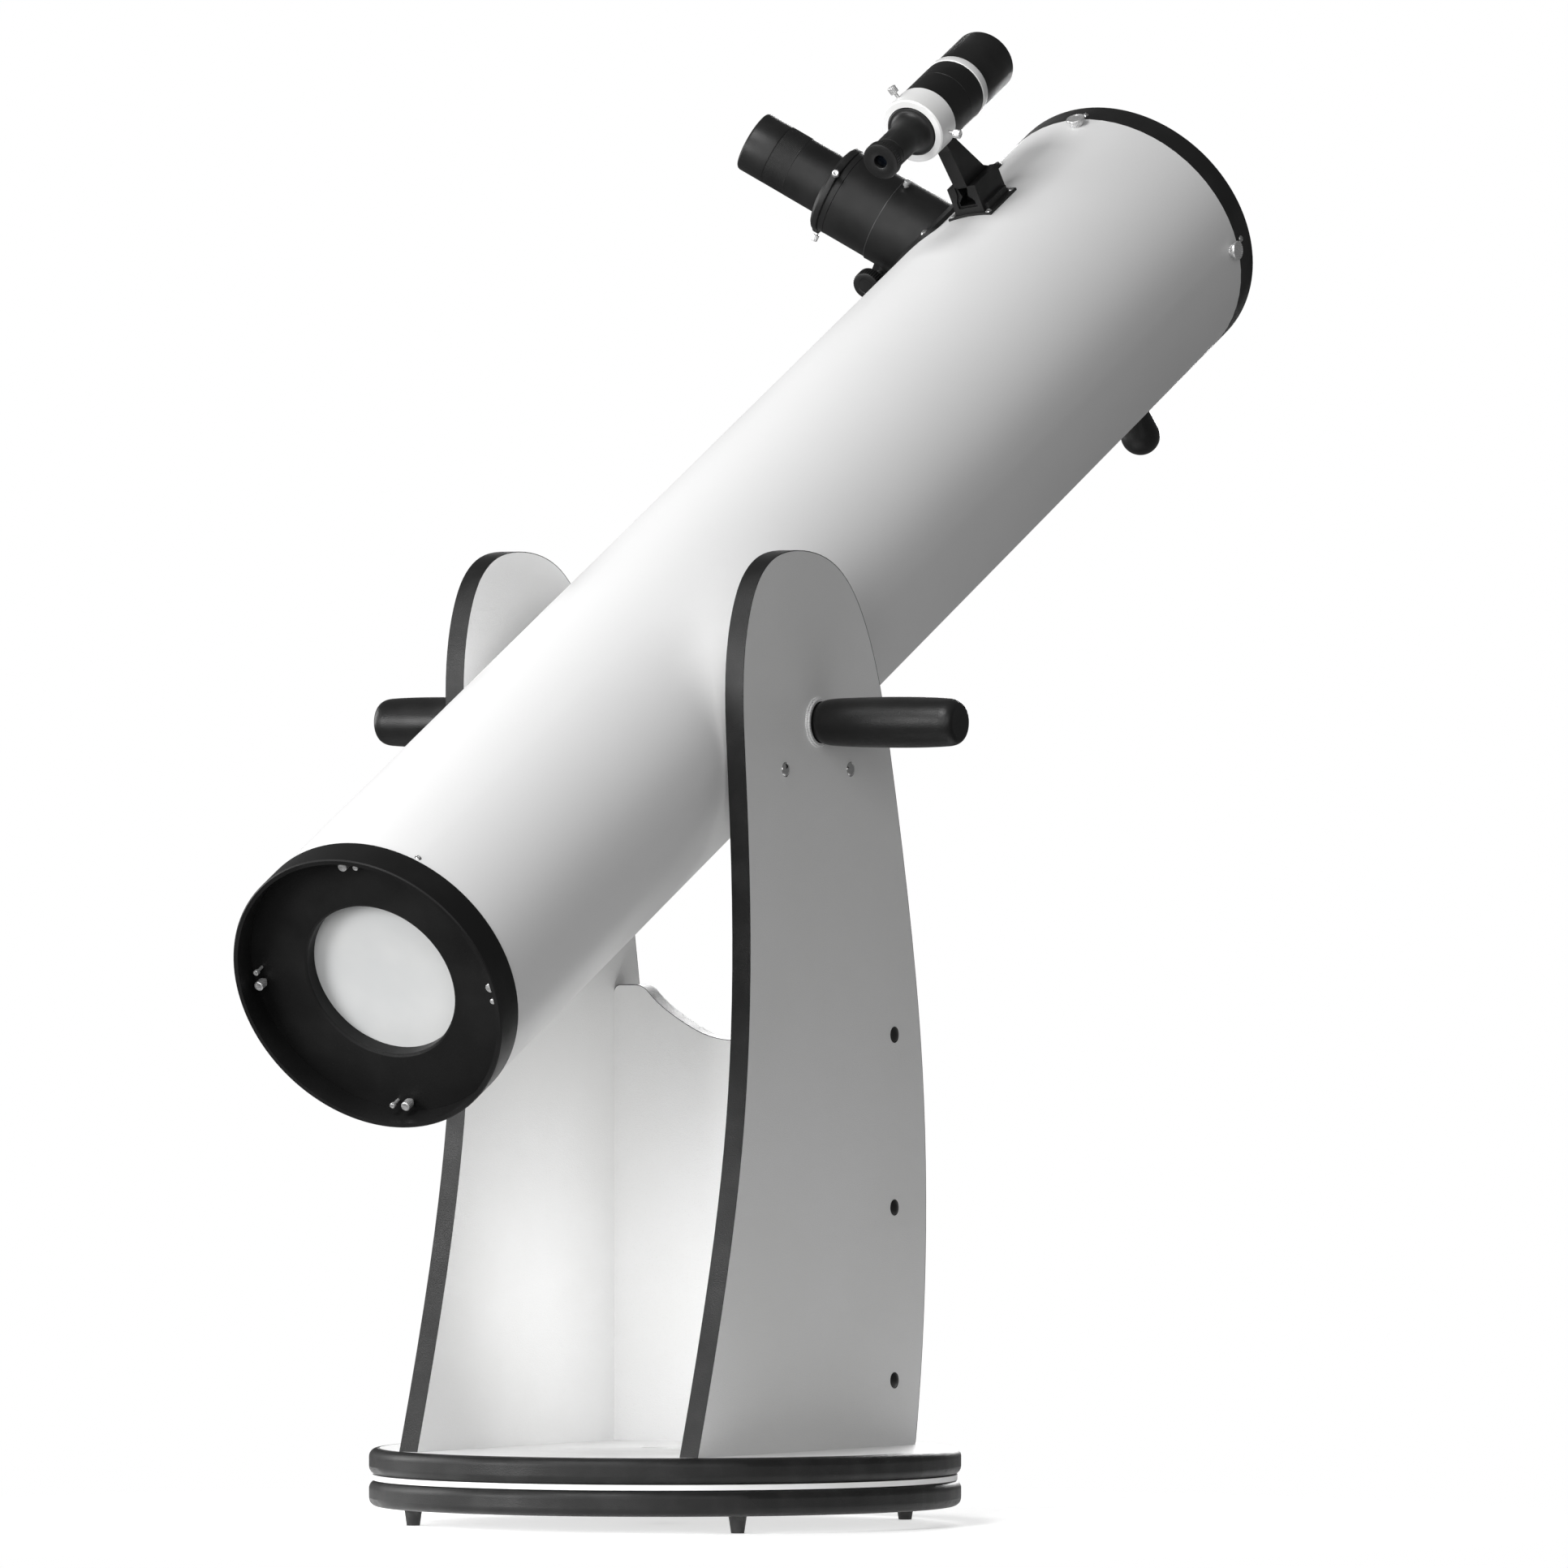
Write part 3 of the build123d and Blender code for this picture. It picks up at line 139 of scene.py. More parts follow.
# ---------------------------------------------------------------- materials
class Nodes:
    """A principled material and short ways to add its texture nodes."""

    def __init__(self, name, base, roughness, metallic=0.0, coat=0.0, coat_roughness=0.1, ior=1.5,
                 specular=0.5):
        self.material = bpy.data.materials.new(name)
        self.material.use_nodes = True
        self.tree = self.material.node_tree
        self.shader = self.tree.nodes["Principled BSDF"]
        self.shader.inputs["Base Color"].default_value = (*base, 1)
        self.shader.inputs["Roughness"].default_value = roughness
        self.shader.inputs["Metallic"].default_value = metallic
        self.shader.inputs["Coat Weight"].default_value = coat
        self.shader.inputs["Coat Roughness"].default_value = coat_roughness
        self.shader.inputs["IOR"].default_value = ior
        self.shader.inputs["Specular IOR Level"].default_value = specular
        self.base, self.roughness = base, roughness
        self.coords = self.tree.nodes.new("ShaderNodeTexCoord").outputs["Object"]
        self.height = None

    def noise(self, scale, detail=3.0, stretch=(1, 1, 1)):
        moved = self.tree.nodes.new("ShaderNodeMapping")
        moved.inputs["Scale"].default_value = stretch
        self.tree.links.new(self.coords, moved.inputs["Vector"])
        node = self.tree.nodes.new("ShaderNodeTexNoise")
        node.inputs["Scale"].default_value = scale
        node.inputs["Detail"].default_value = detail
        self.tree.links.new(moved.outputs["Vector"], node.inputs["Vector"])
        return node.outputs["Fac"]

    def cells(self, scale):
        node = self.tree.nodes.new("ShaderNodeTexVoronoi")
        node.inputs["Scale"].default_value = scale
        self.tree.links.new(self.coords, node.inputs["Vector"])
        return node.outputs["Distance"]

    def turned(self, axis, pitch):
        """Fine lathe rings about a direction."""
        dot = self.tree.nodes.new("ShaderNodeVectorMath")
        dot.operation = "DOT_PRODUCT"
        dot.inputs[1].default_value = axis
        self.tree.links.new(self.coords, dot.inputs[0])
        joined = self.tree.nodes.new("ShaderNodeCombineXYZ")
        self.tree.links.new(dot.outputs["Value"], joined.inputs["X"])
        node = self.tree.nodes.new("ShaderNodeTexNoise")
        node.inputs["Scale"].default_value = 1.0 / pitch
        node.inputs["Detail"].default_value = 2.0
        self.tree.links.new(joined.outputs["Vector"], node.inputs["Vector"])
        return node.outputs["Fac"]

    def span(self, value, low, high, to_low=0.0, to_high=1.0):
        """Smooth step of a value from one range to another."""
        node = self.tree.nodes.new("ShaderNodeMapRange")
        node.interpolation_type = "SMOOTHSTEP"
        node.inputs["From Min"].default_value = low
        node.inputs["From Max"].default_value = high
        node.inputs["To Min"].default_value = to_low
        node.inputs["To Max"].default_value = to_high
        self.tree.links.new(value, node.inputs["Value"])
        return node.outputs["Result"]

    def tint(self, value, other, low=0.35, high=0.65, onto=None):
        """Base colour running to another one where the value is high."""
        mix = self.tree.nodes.new("ShaderNodeMix")
        mix.data_type = "RGBA"
        mix.inputs["A"].default_value = (*self.base, 1)
        mix.inputs["B"].default_value = (*other, 1)
        self.tree.links.new(self.span(value, low, high), mix.inputs["Factor"])
        if onto is not None:
            self.tree.links.new(onto, mix.inputs["A"])
        self.tree.links.new(mix.outputs["Result"], self.shader.inputs["Base Color"])
        return mix.outputs["Result"]

    def gloss(self, value, spread, low=0.3, high=0.7):
        """Roughness varying by the value, spread each way."""
        out = self.span(value, low, high, self.roughness - spread, self.roughness + spread)
        self.tree.links.new(out, self.shader.inputs["Roughness"])

    def bump(self, value, distance):
        """Relief of a depth, on top of any that is there."""
        node = self.tree.nodes.new("ShaderNodeBump")
        node.inputs["Distance"].default_value = distance
        self.tree.links.new(value, node.inputs["Height"])
        if self.height is not None:
            self.tree.links.new(self.height, node.inputs["Normal"])
        self.height = node.outputs["Normal"]
        self.tree.links.new(self.height, self.shader.inputs["Normal"])


def tube_enamel():
    m = Nodes("tube_enamel", (0.83, 0.83, 0.83), 0.42, coat=0.25, coat_roughness=0.22)
    m.tint(m.noise(3.0, 4), (0.80, 0.80, 0.80))
    m.gloss(m.noise(6.0, 3), 0.05)
    m.bump(m.noise(260.0, 2), 0.00006)
    return m.material


def board_melamine():
    m = Nodes("board_melamine", (0.82, 0.82, 0.82), 0.36, coat=0.15, coat_roughness=0.3)
    mottled = m.tint(m.noise(5.0, 5), (0.79, 0.79, 0.785))
    m.tint(m.noise(1400.0, 2), (0.74, 0.74, 0.73), 0.62, 0.74, onto=mottled)
    m.gloss(m.noise(40.0, 4), 0.07)
    m.bump(m.cells(1300.0), 0.00010)
    m.bump(m.noise(420.0, 3), 0.00008)
    return m.material


def edge_black():
    m = Nodes("edge_black", (0.008, 0.008, 0.008), 0.42, specular=0.3)
    m.tint(m.noise(38.0, 5), (0.017, 0.017, 0.017), 0.35, 0.8)
    m.gloss(m.noise(24.0, 5), 0.05)
    m.bump(m.cells(1100.0), 0.00010)
    m.bump(m.noise(60.0, 4), 0.00012)
    return m.material


def grain_black(name, base, roughness, grain, depth):
    m = Nodes(name, (base, base, base), roughness, specular=0.32)
    m.tint(m.noise(18.0, 4), (base * 1.9, base * 1.9, base * 1.9), 0.42, 0.7)
    m.gloss(m.noise(30.0, 4), 0.06)
    m.bump(m.cells(grain), depth)
    m.bump(m.noise(grain * 0.4, 3), depth * 0.6)
    return m.material


def painted_black(name, base):
    m = Nodes(name, (base, base, base), 0.5, specular=0.22)
    m.tint(m.noise(14.0, 4), (base * 2.2, base * 2.2, base * 2.2), 0.4, 0.75)
    m.gloss(m.noise(22.0, 4), 0.09)
    m.bump(m.noise(900.0, 3), 0.00010)
    return m.material


def turned_black(name, axis, base, roughness):
    m = Nodes(name, (base, base, base), roughness, specular=0.34)
    m.tint(m.noise(25.0, 3), (base * 1.8, base * 1.8, base * 1.8), 0.4, 0.7)
    m.gloss(m.noise(60.0, 3), 0.05)
    m.bump(m.turned(axis, 0.00035), 0.00003)
    m.bump(m.noise(1600.0, 2), 0.00002)
    return m.material


def bright_metal(name, base, roughness, scratch, metallic=1.0):
    m = Nodes(name, (base, base, base), roughness, metallic=metallic)
    m.tint(m.noise(70.0, 4), (base * 0.86, base * 0.86, base * 0.86), 0.4, 0.7)
    m.gloss(m.noise(160.0, 4, stretch=(1, 1, 9)), 0.06)
    m.bump(m.noise(500.0, 3, stretch=(1, 1, 12)), scratch)
    return m.material


def pale_plastic(name, base, roughness):
    m = Nodes(name, (base, base, base), roughness, coat=0.2, coat_roughness=0.2)
    m.tint(m.noise(20.0, 4), (base * 0.96, base * 0.96, base * 0.95), 0.4, 0.7)
    m.gloss(m.noise(45.0, 3), 0.05)
    m.bump(m.noise(700.0, 3), 0.00005)
    return m.material


def foot_rubber():
    m = Nodes("foot_rubber", (0.018, 0.018, 0.018), 0.62)
    m.tint(m.noise(120.0, 5), (0.05, 0.05, 0.048), 0.5, 0.75)
    m.gloss(m.noise(90.0, 3), 0.08)
    m.bump(m.noise(900.0, 4), 0.00015)
    return m.material


def mirror_silver():
    m = Nodes("mirror_silver", (0.88, 0.89, 0.90), 0.03, metallic=1.0)
    m.tint(m.noise(9.0, 3), (0.85, 0.86, 0.88), 0.45, 0.7)
    m.gloss(m.noise(30.0, 4), 0.015)
    m.bump(m.noise(4.0, 2), 0.00002)
    return m.material


def ground_glass():
    m = Nodes("ground_glass", (0.74, 0.745, 0.74), 0.55)
    m.tint(m.noise(11.0, 4), (0.68, 0.69, 0.69), 0.4, 0.7)
    m.gloss(m.noise(35.0, 4), 0.08)
    m.bump(m.noise(1500.0, 4), 0.00010)
    return m.material


def lens_glass():
    m = Nodes("lens_glass", (0.012, 0.014, 0.02), 0.04, coat=1.0, coat_roughness=0.02, ior=1.52)
    m.tint(m.noise(12.0, 2), (0.01, 0.02, 0.03), 0.4, 0.7)
    m.gloss(m.noise(50.0, 3), 0.02)
    m.bump(m.noise(6.0, 2), 0.00001)
    return m.material


ENAMEL = tube_enamel()
BOARD = board_melamine()
EDGE = edge_black()
GRIP = grain_black("grip_black", 0.007, 0.36, 1000.0, 0.00009)
KNOB = grain_black("knob_black", 0.010, 0.34, 1500.0, 0.00005)
PAINT = painted_black("cast_black", 0.012)
CELL = painted_black("cell_black", 0.0055)
FOCUS_BLACK = turned_black("focuser_black", axis_of(FOCUS, 2), 0.007, 0.46)
# A lighter, glossier copy of focuser_black: a painted highlight for the bevel round the focuser's joint.
JOINT_HIGHLIGHT_BLACK = turned_black("joint_painted_highlight", axis_of(FOCUS, 2), 0.035, 0.32)
FINDER_BLACK = turned_black("finder_black", axis_of(FINDER, 2), 0.006, 0.44)
CHROME = bright_metal("chrome", 0.66, 0.10, 0.00001)
STEEL = bright_metal("zinc_steel", 0.55, 0.32, 0.00004)
BRIGHT = bright_metal("bright_nickel", 0.88, 0.30, 0.00002, 0.3)
NICKEL = bright_metal("pale_nickel", 0.74, 0.28, 0.00002, 0.7)
WHITE = pale_plastic("ring_white", 0.84, 0.34)
NYLON = pale_plastic("glide_white", 0.80, 0.45)
RUBBER = foot_rubber()
SILVER = mirror_silver()
GROUND_GLASS = ground_glass()
LENS = lens_glass()


# ---------------------------------------------------------------- mesh making
class Mesh:
    """Collects turned and extruded shapes into one piece."""

    def __init__(self):
        self.bm = bmesh.new()

    def turn(self, here, profile, segments=64, ripple=None, material=0):
        """Revolve (radius, height) points, with ripple(angle, height, radius) added to each radius."""
        rings = []
        for radius, height in profile:
            if radius < 1e-7:
                rings.append([self.bm.verts.new(here @ Vector((0, 0, height)))])
                continue
            ring = []
            for k in range(segments):
                a = 2 * pi * k / segments
                r = radius + (ripple(a, height, radius) if ripple else 0.0)
                ring.append(self.bm.verts.new(here @ Vector((r * cos(a), r * sin(a), height))))
            rings.append(ring)
        for low, high in zip(rings, rings[1:]):
            for k in range(segments):
                after = (k + 1) % segments
                if len(low) == 1:
                    face = (low[0], high[after], high[k])
                elif len(high) == 1:
                    face = (low[k], low[after], high[0])
                else:
                    face = (low[k], low[after], high[after], high[k])
                self.bm.faces.new(face).material_index = material

    def coil(self, here, radius, wire, turns, length):
        """A round wire wound about a place's z axis."""
        per_turn, around = 28, 8
        steps = int(turns * per_turn)
        rings = []
        for i in range(steps + 1):
            t = i / steps
            a = 2 * pi * turns * t
            middle = Vector((radius * cos(a), radius * sin(a), wire + (length - 2 * wire) * t))
            away = Vector((cos(a), sin(a), 0))
            ring = []
            for k in range(around):
                b = 2 * pi * k / around
                ring.append(self.bm.verts.new(here @ (middle + away * wire * cos(b)
                                                      + Vector((0, 0, wire * sin(b))))))
            rings.append(ring)
        for low, high in zip(rings, rings[1:]):
            for k in range(around):
                self.bm.faces.new((low[k], low[(k + 1) % around], high[(k + 1) % around], high[k]))
        self.bm.faces.new(rings[0])
        self.bm.faces.new(rings[-1])

    def finish(self, name, body, nodes, materials, slot, sharp=38):
        """Make the piece, riding a body in place of its CAD nodes. Edges past sharp degrees stay crisp."""
        bmesh.ops.recalc_face_normals(self.bm, faces=self.bm.faces)
        for face in self.bm.faces:
            face.smooth = True
        for edge in self.bm.edges:
            if len(edge.link_faces) == 2 and edge.calc_face_angle(0) > radians(sharp):
                edge.smooth = False
        mesh = bpy.data.meshes.new(name)
        self.bm.to_mesh(mesh)
        self.bm.free()
        for material in materials:
            mesh.materials.append(material)
        piece = bpy.data.objects.new(name, mesh)
        bpy.context.scene.collection.objects.link(piece)
        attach(piece, body)
        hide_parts(*nodes)
        return piece


def bevelled(points, bevel):
    """Round each corner of a (radius, height) outline by a small two-step bevel."""
    out = [points[0]]
    for before, here, after in zip(points, points[1:], points[2:]):
        into = hypot(here[0] - before[0], here[1] - before[1])
        away = hypot(after[0] - here[0], after[1] - here[1])
        cut = min(bevel, into * 0.45, away * 0.45)
        if cut <= 0:
            out.append(here)
            continue
        a = (here[0] + (before[0] - here[0]) * cut / into, here[1] + (before[1] - here[1]) * cut / into)
        b = (here[0] + (after[0] - here[0]) * cut / away, here[1] + (after[1] - here[1]) * cut / away)
        mid = ((a[0] + b[0]) / 4 + here[0] / 2, (a[1] + b[1]) / 4 + here[1] / 2)
        out += [a, mid, b]
    return out + [points[-1]]


def knurl(count, depth, low, high):
    """Straight knurling between two heights."""
    def ripple(angle, height, _radius):
        return -depth * (0.5 - 0.5 * cos(count * angle)) if low <= height <= high else 0.0
    return ripple


def thumb_head(mesh, here, head_r, head_h, neck_h, shank_r, length, count=24):
    """Knurled thumbscrew standing in a place, with a shallow dish in its face and a bright bevel."""
    top = neck_h + head_h
    bevel = head_r * 0.12
    mesh.turn(here, [(0, -length), (shank_r, -length), (shank_r, neck_h)], 24)
    grip = [(shank_r, neck_h), (head_r - 2 * bevel, neck_h), (head_r - bevel, neck_h + bevel * 0.4)]
    for k in range(5):
        grip.append((head_r, neck_h + bevel + (head_h - 2 * bevel) * k / 4))
    grip += [(head_r - bevel, top - bevel * 0.3), (head_r - 1.6 * bevel, top), (head_r * 0.62, top),
             (head_r * 0.55, top - bevel * 0.35), (0, top - bevel * 0.45)]
    mesh.turn(here, grip, count * 6, knurl(count, head_r * 0.07, neck_h + bevel * 0.9, top - bevel * 0.9))


def cross_screw(mesh, here, radius, height, shank_r, length):
    """Domed screw with a cross recess."""
    ball = (radius ** 2 + height ** 2) / (2 * height)
    profile = [(0, -length), (shank_r, -length), (shank_r, 0), (radius, 0)]
    steps = 6
    for k in range(1, steps + 1):
        r = radius * (1 - k / steps * 0.86)
        profile.append((r, height - ball + (ball ** 2 - r ** 2) ** 0.5))

    def arms(angle, level, r):
        if level < height * 0.8 or r > radius * 0.5:
            return 0.0
        return radius * 0.24 * cos(4 * angle)

    inner = radius * 0.36
    profile[-1] = (inner, height - ball + (ball ** 2 - inner ** 2) ** 0.5)
    profile += [(inner * 0.8, height * 0.45), (0, height * 0.3)]
    mesh.turn(here, profile, 48, arms)


def dome(mesh, here, radius, height, rim):
    """Smooth cap standing on a place, with a thin flat rim."""
    ball = (radius ** 2 + height ** 2) / (2 * height)
    profile = [(0, 0), (radius + rim, 0), (radius + rim, 0.0004)]
    for k in range(9):
        r = radius * cos(pi / 2 * k / 8)
        profile.append((r, height - ball + (max(ball ** 2 - r ** 2, 0)) ** 0.5))
    mesh.turn(here, profile, 48)


# ---------------------------------------------------------------- carried-over CAD nodes
dressing = {
    "main_tube": ENAMEL, "right_panel": BOARD, "left_panel": BOARD, "front_board": BOARD,
    "rocker_board": BOARD, "ground_board": BOARD, "glide_ring": NYLON,
    "ground_moulding": EDGE, "rocker_moulding": EDGE, "edge_banding": EDGE,
    "ground_feet": RUBBER, "foot_screws": STEEL, "pivot_bolt": STEEL, "board_screws": STEEL,
    "bushes": NYLON, "bearing_rollers": NYLON, "side_bearings": KNOB, "handle_washers": BRIGHT,
    "front_ring": PAINT, "cell_ring": CELL, "cell_plate": CELL, "mirror_carrier": PAINT,
    "mirror_clips": KNOB, "spider_vanes": PAINT, "secondary_mirror": SILVER, "secondary_holder": KNOB,
    "focuser_base": FOCUS_BLACK, "focuser_body": FOCUS_BLACK, "drawtube": CHROME,
    "pinion_shaft": STEEL, "finder_shoe": PAINT, "finder_stalk": FINDER_BLACK, "guide_knob": KNOB,
    "right_grip": GRIP, "left_grip": GRIP, "finder_ring": WHITE,
}
for name, material in dressing.items():
    node = frame["nodes"][name]
    node.data.materials.clear()
    node.data.materials.append(material)


def black_bore():
    """Paint the main tube's inner faces black."""
    tube = frame["nodes"]["main_tube"].data
    tube.materials.append(PAINT)
    for face in tube.polygons:
        away = face.center - TUBE.to_translation()
        away -= TUBE_DIR * away.dot(TUBE_DIR)
        if face.normal.dot(away) < 0:
            face.material_index = 1


# ---------------------------------------------------------------- fasteners
def skin_screws():
    """Screws in the tube's skin, with a thin bead round the focuser's joint in a lighter black that is a
    painted highlight.
    """
    screws = Mesh()
    for psi in CELL_SCREW_PSI:
        cross_screw(screws, outward(CELL_SCREW_S, psi, TUBE_R), 0.0029, 0.0016, 0.0015, 0.0028)
    for psi in FRONT_SCREW_PSI:
        cross_screw(screws, outward(FRONT_SCREW_S, psi, TUBE_R), 0.0029, 0.0016, 0.0015, 0.0028)
    for station in (0.657, 0.698):
        for turn in (-8.4, 8.4):
            cross_screw(screws, outward(station, FINDER_PSI + turn, TUBE_R + 0.002), 0.0029, 0.0014, 0.0015,
                        0.005)
    for step in (-0.062, 0.062):
        for turn in (-26, 26):
            cross_screw(screws, outward(FOCUS_S + step, FOCUS_PSI + turn, TUBE_R + 0.003), 0.0036, 0.0018,
                        0.002, 0.007)
    knob_foot = outward(GUIDE_KNOB_S, 180.0, TUBE_R)
    screws.turn(knob_foot, [(0, -0.0046), (0.005, -0.0046), (0.005, -0.0022), (0.003, -0.0022),
                            (0.003, 0.022), (0, 0.022)], 24)
    # Thin bead on the focuser's joint, in the lighter black that paints a highlight along its edge.
    highlight_bead = [(0, 0.0005), (0.0004, 0.0005), (0.00085, 0.0003), (0.00098, 0), (0.00098, -0.0003),
            (0.0007, -0.0005), (0, -0.0005), (0, 0.0005)]
    screws.turn(FOCUS, [(BODY_R + out, JOINT_LINE + up) for out, up in highlight_bead], 192, material=1)
    screws.finish("tube_fasteners", "tube", ["tube_screws"], [STEEL, JOINT_HIGHLIGHT_BLACK], "steel")


def rocker_fasteners():
    """Screw covers and the rollers' dome-headed bolts on both side panels."""
    caps = Mesh()
    for facing in (1, -1):
        for z in (0.1134, 0.2528, 0.3922):
            dome(caps, panel_side(facing, BASE_Y + 0.130, z), 0.0062, 0.0022, 0.0003)
    caps.finish("screw_covers", "rocker", ["screw_caps"], [KNOB], "black_plastic")

    bolts = Mesh()
    for facing in (1, -1):
        for step in (-0.0522, 0.0522):
            here = panel_side(facing, ALT.y + step, ALT.z - 0.0377)
            bolts.turn(here, [(0, -0.0194), (0.003, -0.0194), (0.003, 0)], 32)
            dome(bolts, here, 0.0056, 0.0028, 0.0004)
    bolts.finish("bearing_bolts", "rocker", ["roller_bolts"], [CHROME], "chrome")


def spider_thumbscrews():
    """Knurled necks under flat caps, round the tube's front."""
    spider = Mesh()
    for psi in QUARTERS:
        here = outward(SPIDER_S, psi, TUBE_R)
        neck = [(0, -0.008), (0.0025, -0.008), (0.0025, 0), (0.0048, 0), (0.0052, 0.0003)]
        neck += [(0.0052, 0.0006 + 0.0036 * k / 5) for k in range(6)]
        spider.turn(here, neck + [(0.0052, 0.0046), (0.0046, 0.0048), (0.0044, 0.0048)], 144,
                    knurl(24, 0.0005, 0.0005, 0.0043))
        spider.turn(here, [(0.0044, 0.0048), (0.0077, 0.0048), (0.0080, 0.0051), (0.0080, 0.0064),
                           (0.0077, 0.0068), (0.0062, 0.0068), (0.0060, 0.0066), (0, 0.0066)], 96)
    spider.finish("spider_thumbscrews", "tube", ["spider_screws"], [NICKEL], "chrome")


def plate_spot(turn):
    """On the cell plate's back, at an angle round it."""
    return flip(along(PLATE_FACE, PLATE_SCREW_RING * cos(turn), PLATE_SCREW_RING * sin(turn)))


def cell_screws():
    """Collimation and lock thumbscrews of the mirror cell, with a spring under each collimation screw."""
    collimation, locks, springs = Mesh(), Mesh(), Mesh()
    for k in range(4):
        spot = plate_spot(pi / 2 * k)
        thumb_head(collimation, spot, 0.0039, 0.0082, 0.0026, 0.002, 0.020, 18)
        beside = plate_spot(pi / 2 * k + radians(6.4))
        thumb_head(locks, beside, 0.0023, 0.0032, 0.0076, 0.0013, 0.009, 12)
        springs.coil(lift(spot, -0.0095), 0.0042, 0.00055, 2.5, 0.0034)
    collimation.finish("collimation_knobs", "tube", ["collimation_screws"], [NICKEL], "chrome")
    locks.finish("lock_knobs", "tube", ["lock_screws"], [NICKEL], "chrome")
    springs.finish("cell_springs", "tube", ["collimation_springs"], [STEEL], "steel")


def secondary_adjusters():
    """Three small screws round the centre bolt, on the spider's hub."""
    secondary = Mesh()
    for k in range(3):
        here = along(HUB_S, 0.010 * cos(2 * pi * k / 3), 0.010 * sin(2 * pi * k / 3))
        thumb_head(secondary, here, 0.0028, 0.0026, 0.0, 0.0015, 0.030, 12)
    thumb_head(secondary, along(HUB_S), 0.0052, 0.0034, 0.0, 0.003, 0.040, 20)
    secondary.finish("secondary_adjusters", "tube", ["secondary_screws"], [STEEL], "steel")


def studs():
    """Handle studs, each with its bright flange and a dark step behind the grip."""
    for facing, hand in ((1, "right"), (-1, "left")):
        stud, here = Mesh(), panel_side(facing)
        shank, flange = STUD_SHANK_R, STUD_FLANGE_R
        stud.turn(here, [(0, -0.0215), (shank, -0.0215), (shank, 0.0011)], 48)
        stud.turn(here, [(shank, 0.0011), (flange - 0.0004, 0.0011), (flange, 0.0015), (flange, 0.0025),
                         (flange - 0.0004, 0.0029), (0.0168, 0.0029)], 96, material=1)
        stud.turn(here, [(0.0168, 0.0029), (0.0168, 0.0034), (shank, 0.0034), (shank, 0.060), (0, 0.060)], 96,
                  material=2)
        stud.finish(f"{hand}_stud", f"{hand}_handle", [f"{hand}_handle_stud"], [STEEL, BRIGHT, KNOB], "steel")


# ---------------------------------------------------------------- primary mirror
def primary():
    """Ground back and side, and a silvered dish in front."""
    mirror = Mesh()
    back, front = MIRROR_BACK, MIRROR_BACK + MIRROR_T
    mirror.turn(TUBE, [(0, back), (MIRROR_R - 0.0012, back), (MIRROR_R, back + 0.0012),
                       (MIRROR_R, front - 0.0008)], 160, material=1)
    dish = [(MIRROR_R, front - 0.0008), (MIRROR_R - 0.0008, front)]
    for k in range(1, 13):
        r = (MIRROR_R - 0.0008) * (1 - k / 12)
        dish.append((r, front - MIRROR_SAG * (1 - (r / MIRROR_R) ** 2)))
    mirror.turn(TUBE, dish, 160, material=0)
    mirror.finish("main_mirror", "mirror_cell", ["primary_mirror"], [SILVER, GROUND_GLASS], "mirror")


# ---------------------------------------------------------------- focuser and eyepiece
def focus_lock():
    lock = Mesh()
    thumb_head(lock, spoke(FOCUS, 270.0, 0.0379, 0.1535), 0.0029, 0.005, 0.0016, 0.0015, 0.0083, 16)
    lock.finish("focus_lock", "focus_lock", ["focus_lock_screw"], [NICKEL], "chrome")


def focuser_collar():
    """Plain lower part, a groove, then a ring with three low lobes and three ridges on its face."""
    seam, ring_r = 0.0052, 0.0384

    def lobes(angle, height, radius):
        if height < seam + 0.0004 or radius < 0.0365:
            return 0.0
        swell = 0.0
        for lobe in COLLAR_LOBES:
            off = abs((angle * 180 / pi - lobe + 180) % 360 - 180) / 19
            if off < 1:
                swell = max(swell, (1 - off * off) ** 2)
        return (COLLAR_TIP - ring_r) * swell * min(1.0, (radius - 0.0365) / 0.0015)

    collar = Mesh()
    bore = 0.02655
    profile = [(bore, 0), (0.0370, 0), (0.0372, 0.0002), (0.0372, seam - 0.0005), (0.0366, seam - 0.0003),
               (0.0366, seam + 0.0003), (0.0378, seam + 0.0005), (ring_r, seam + 0.0011),
               (ring_r, COLLAR_T - 0.0044), (0.0381, COLLAR_T - 0.0035), (0.0375, COLLAR_T - 0.0029),
               (0.0366, COLLAR_T - 0.0026)]
    for ring in (0.0362, 0.0343, 0.0324):
        top = COLLAR_T - 0.0016 * (ring - 0.0324) / 0.0038
        profile += [(ring, top - 0.0004), (ring - 0.0004, top), (ring - 0.0010, top),
                    (ring - 0.0013, top - 0.0010), (ring - 0.0016, top - 0.0010)]
    profile += [(0.0300, COLLAR_T - 0.0002), (0.0285, COLLAR_T - 0.0003), (0.0272, COLLAR_T - 0.0008),
                (bore, COLLAR_T - 0.0014), (bore, 0)]
    collar.turn(lift(FOCUS, COLLAR_FROM), profile, 360, lobes)
    collar.finish("focuser_collar", "drawtube", ["drawtube_collar"], [FOCUS_BLACK], "black_anodised", 30)

    clamp = Mesh()
    for angle in COLLAR_LOBES[:2]:
        spot = spoke(FOCUS, angle, COLLAR_TIP, COLLAR_FROM + COLLAR_T / 2)
        thumb_head(clamp, spot, 0.0029, 0.0056, 0.0016, 0.0015, 0.0145, 16)
    clamp.finish("collar_clamps", "drawtube", ["collar_screws"], [NICKEL], "chrome")


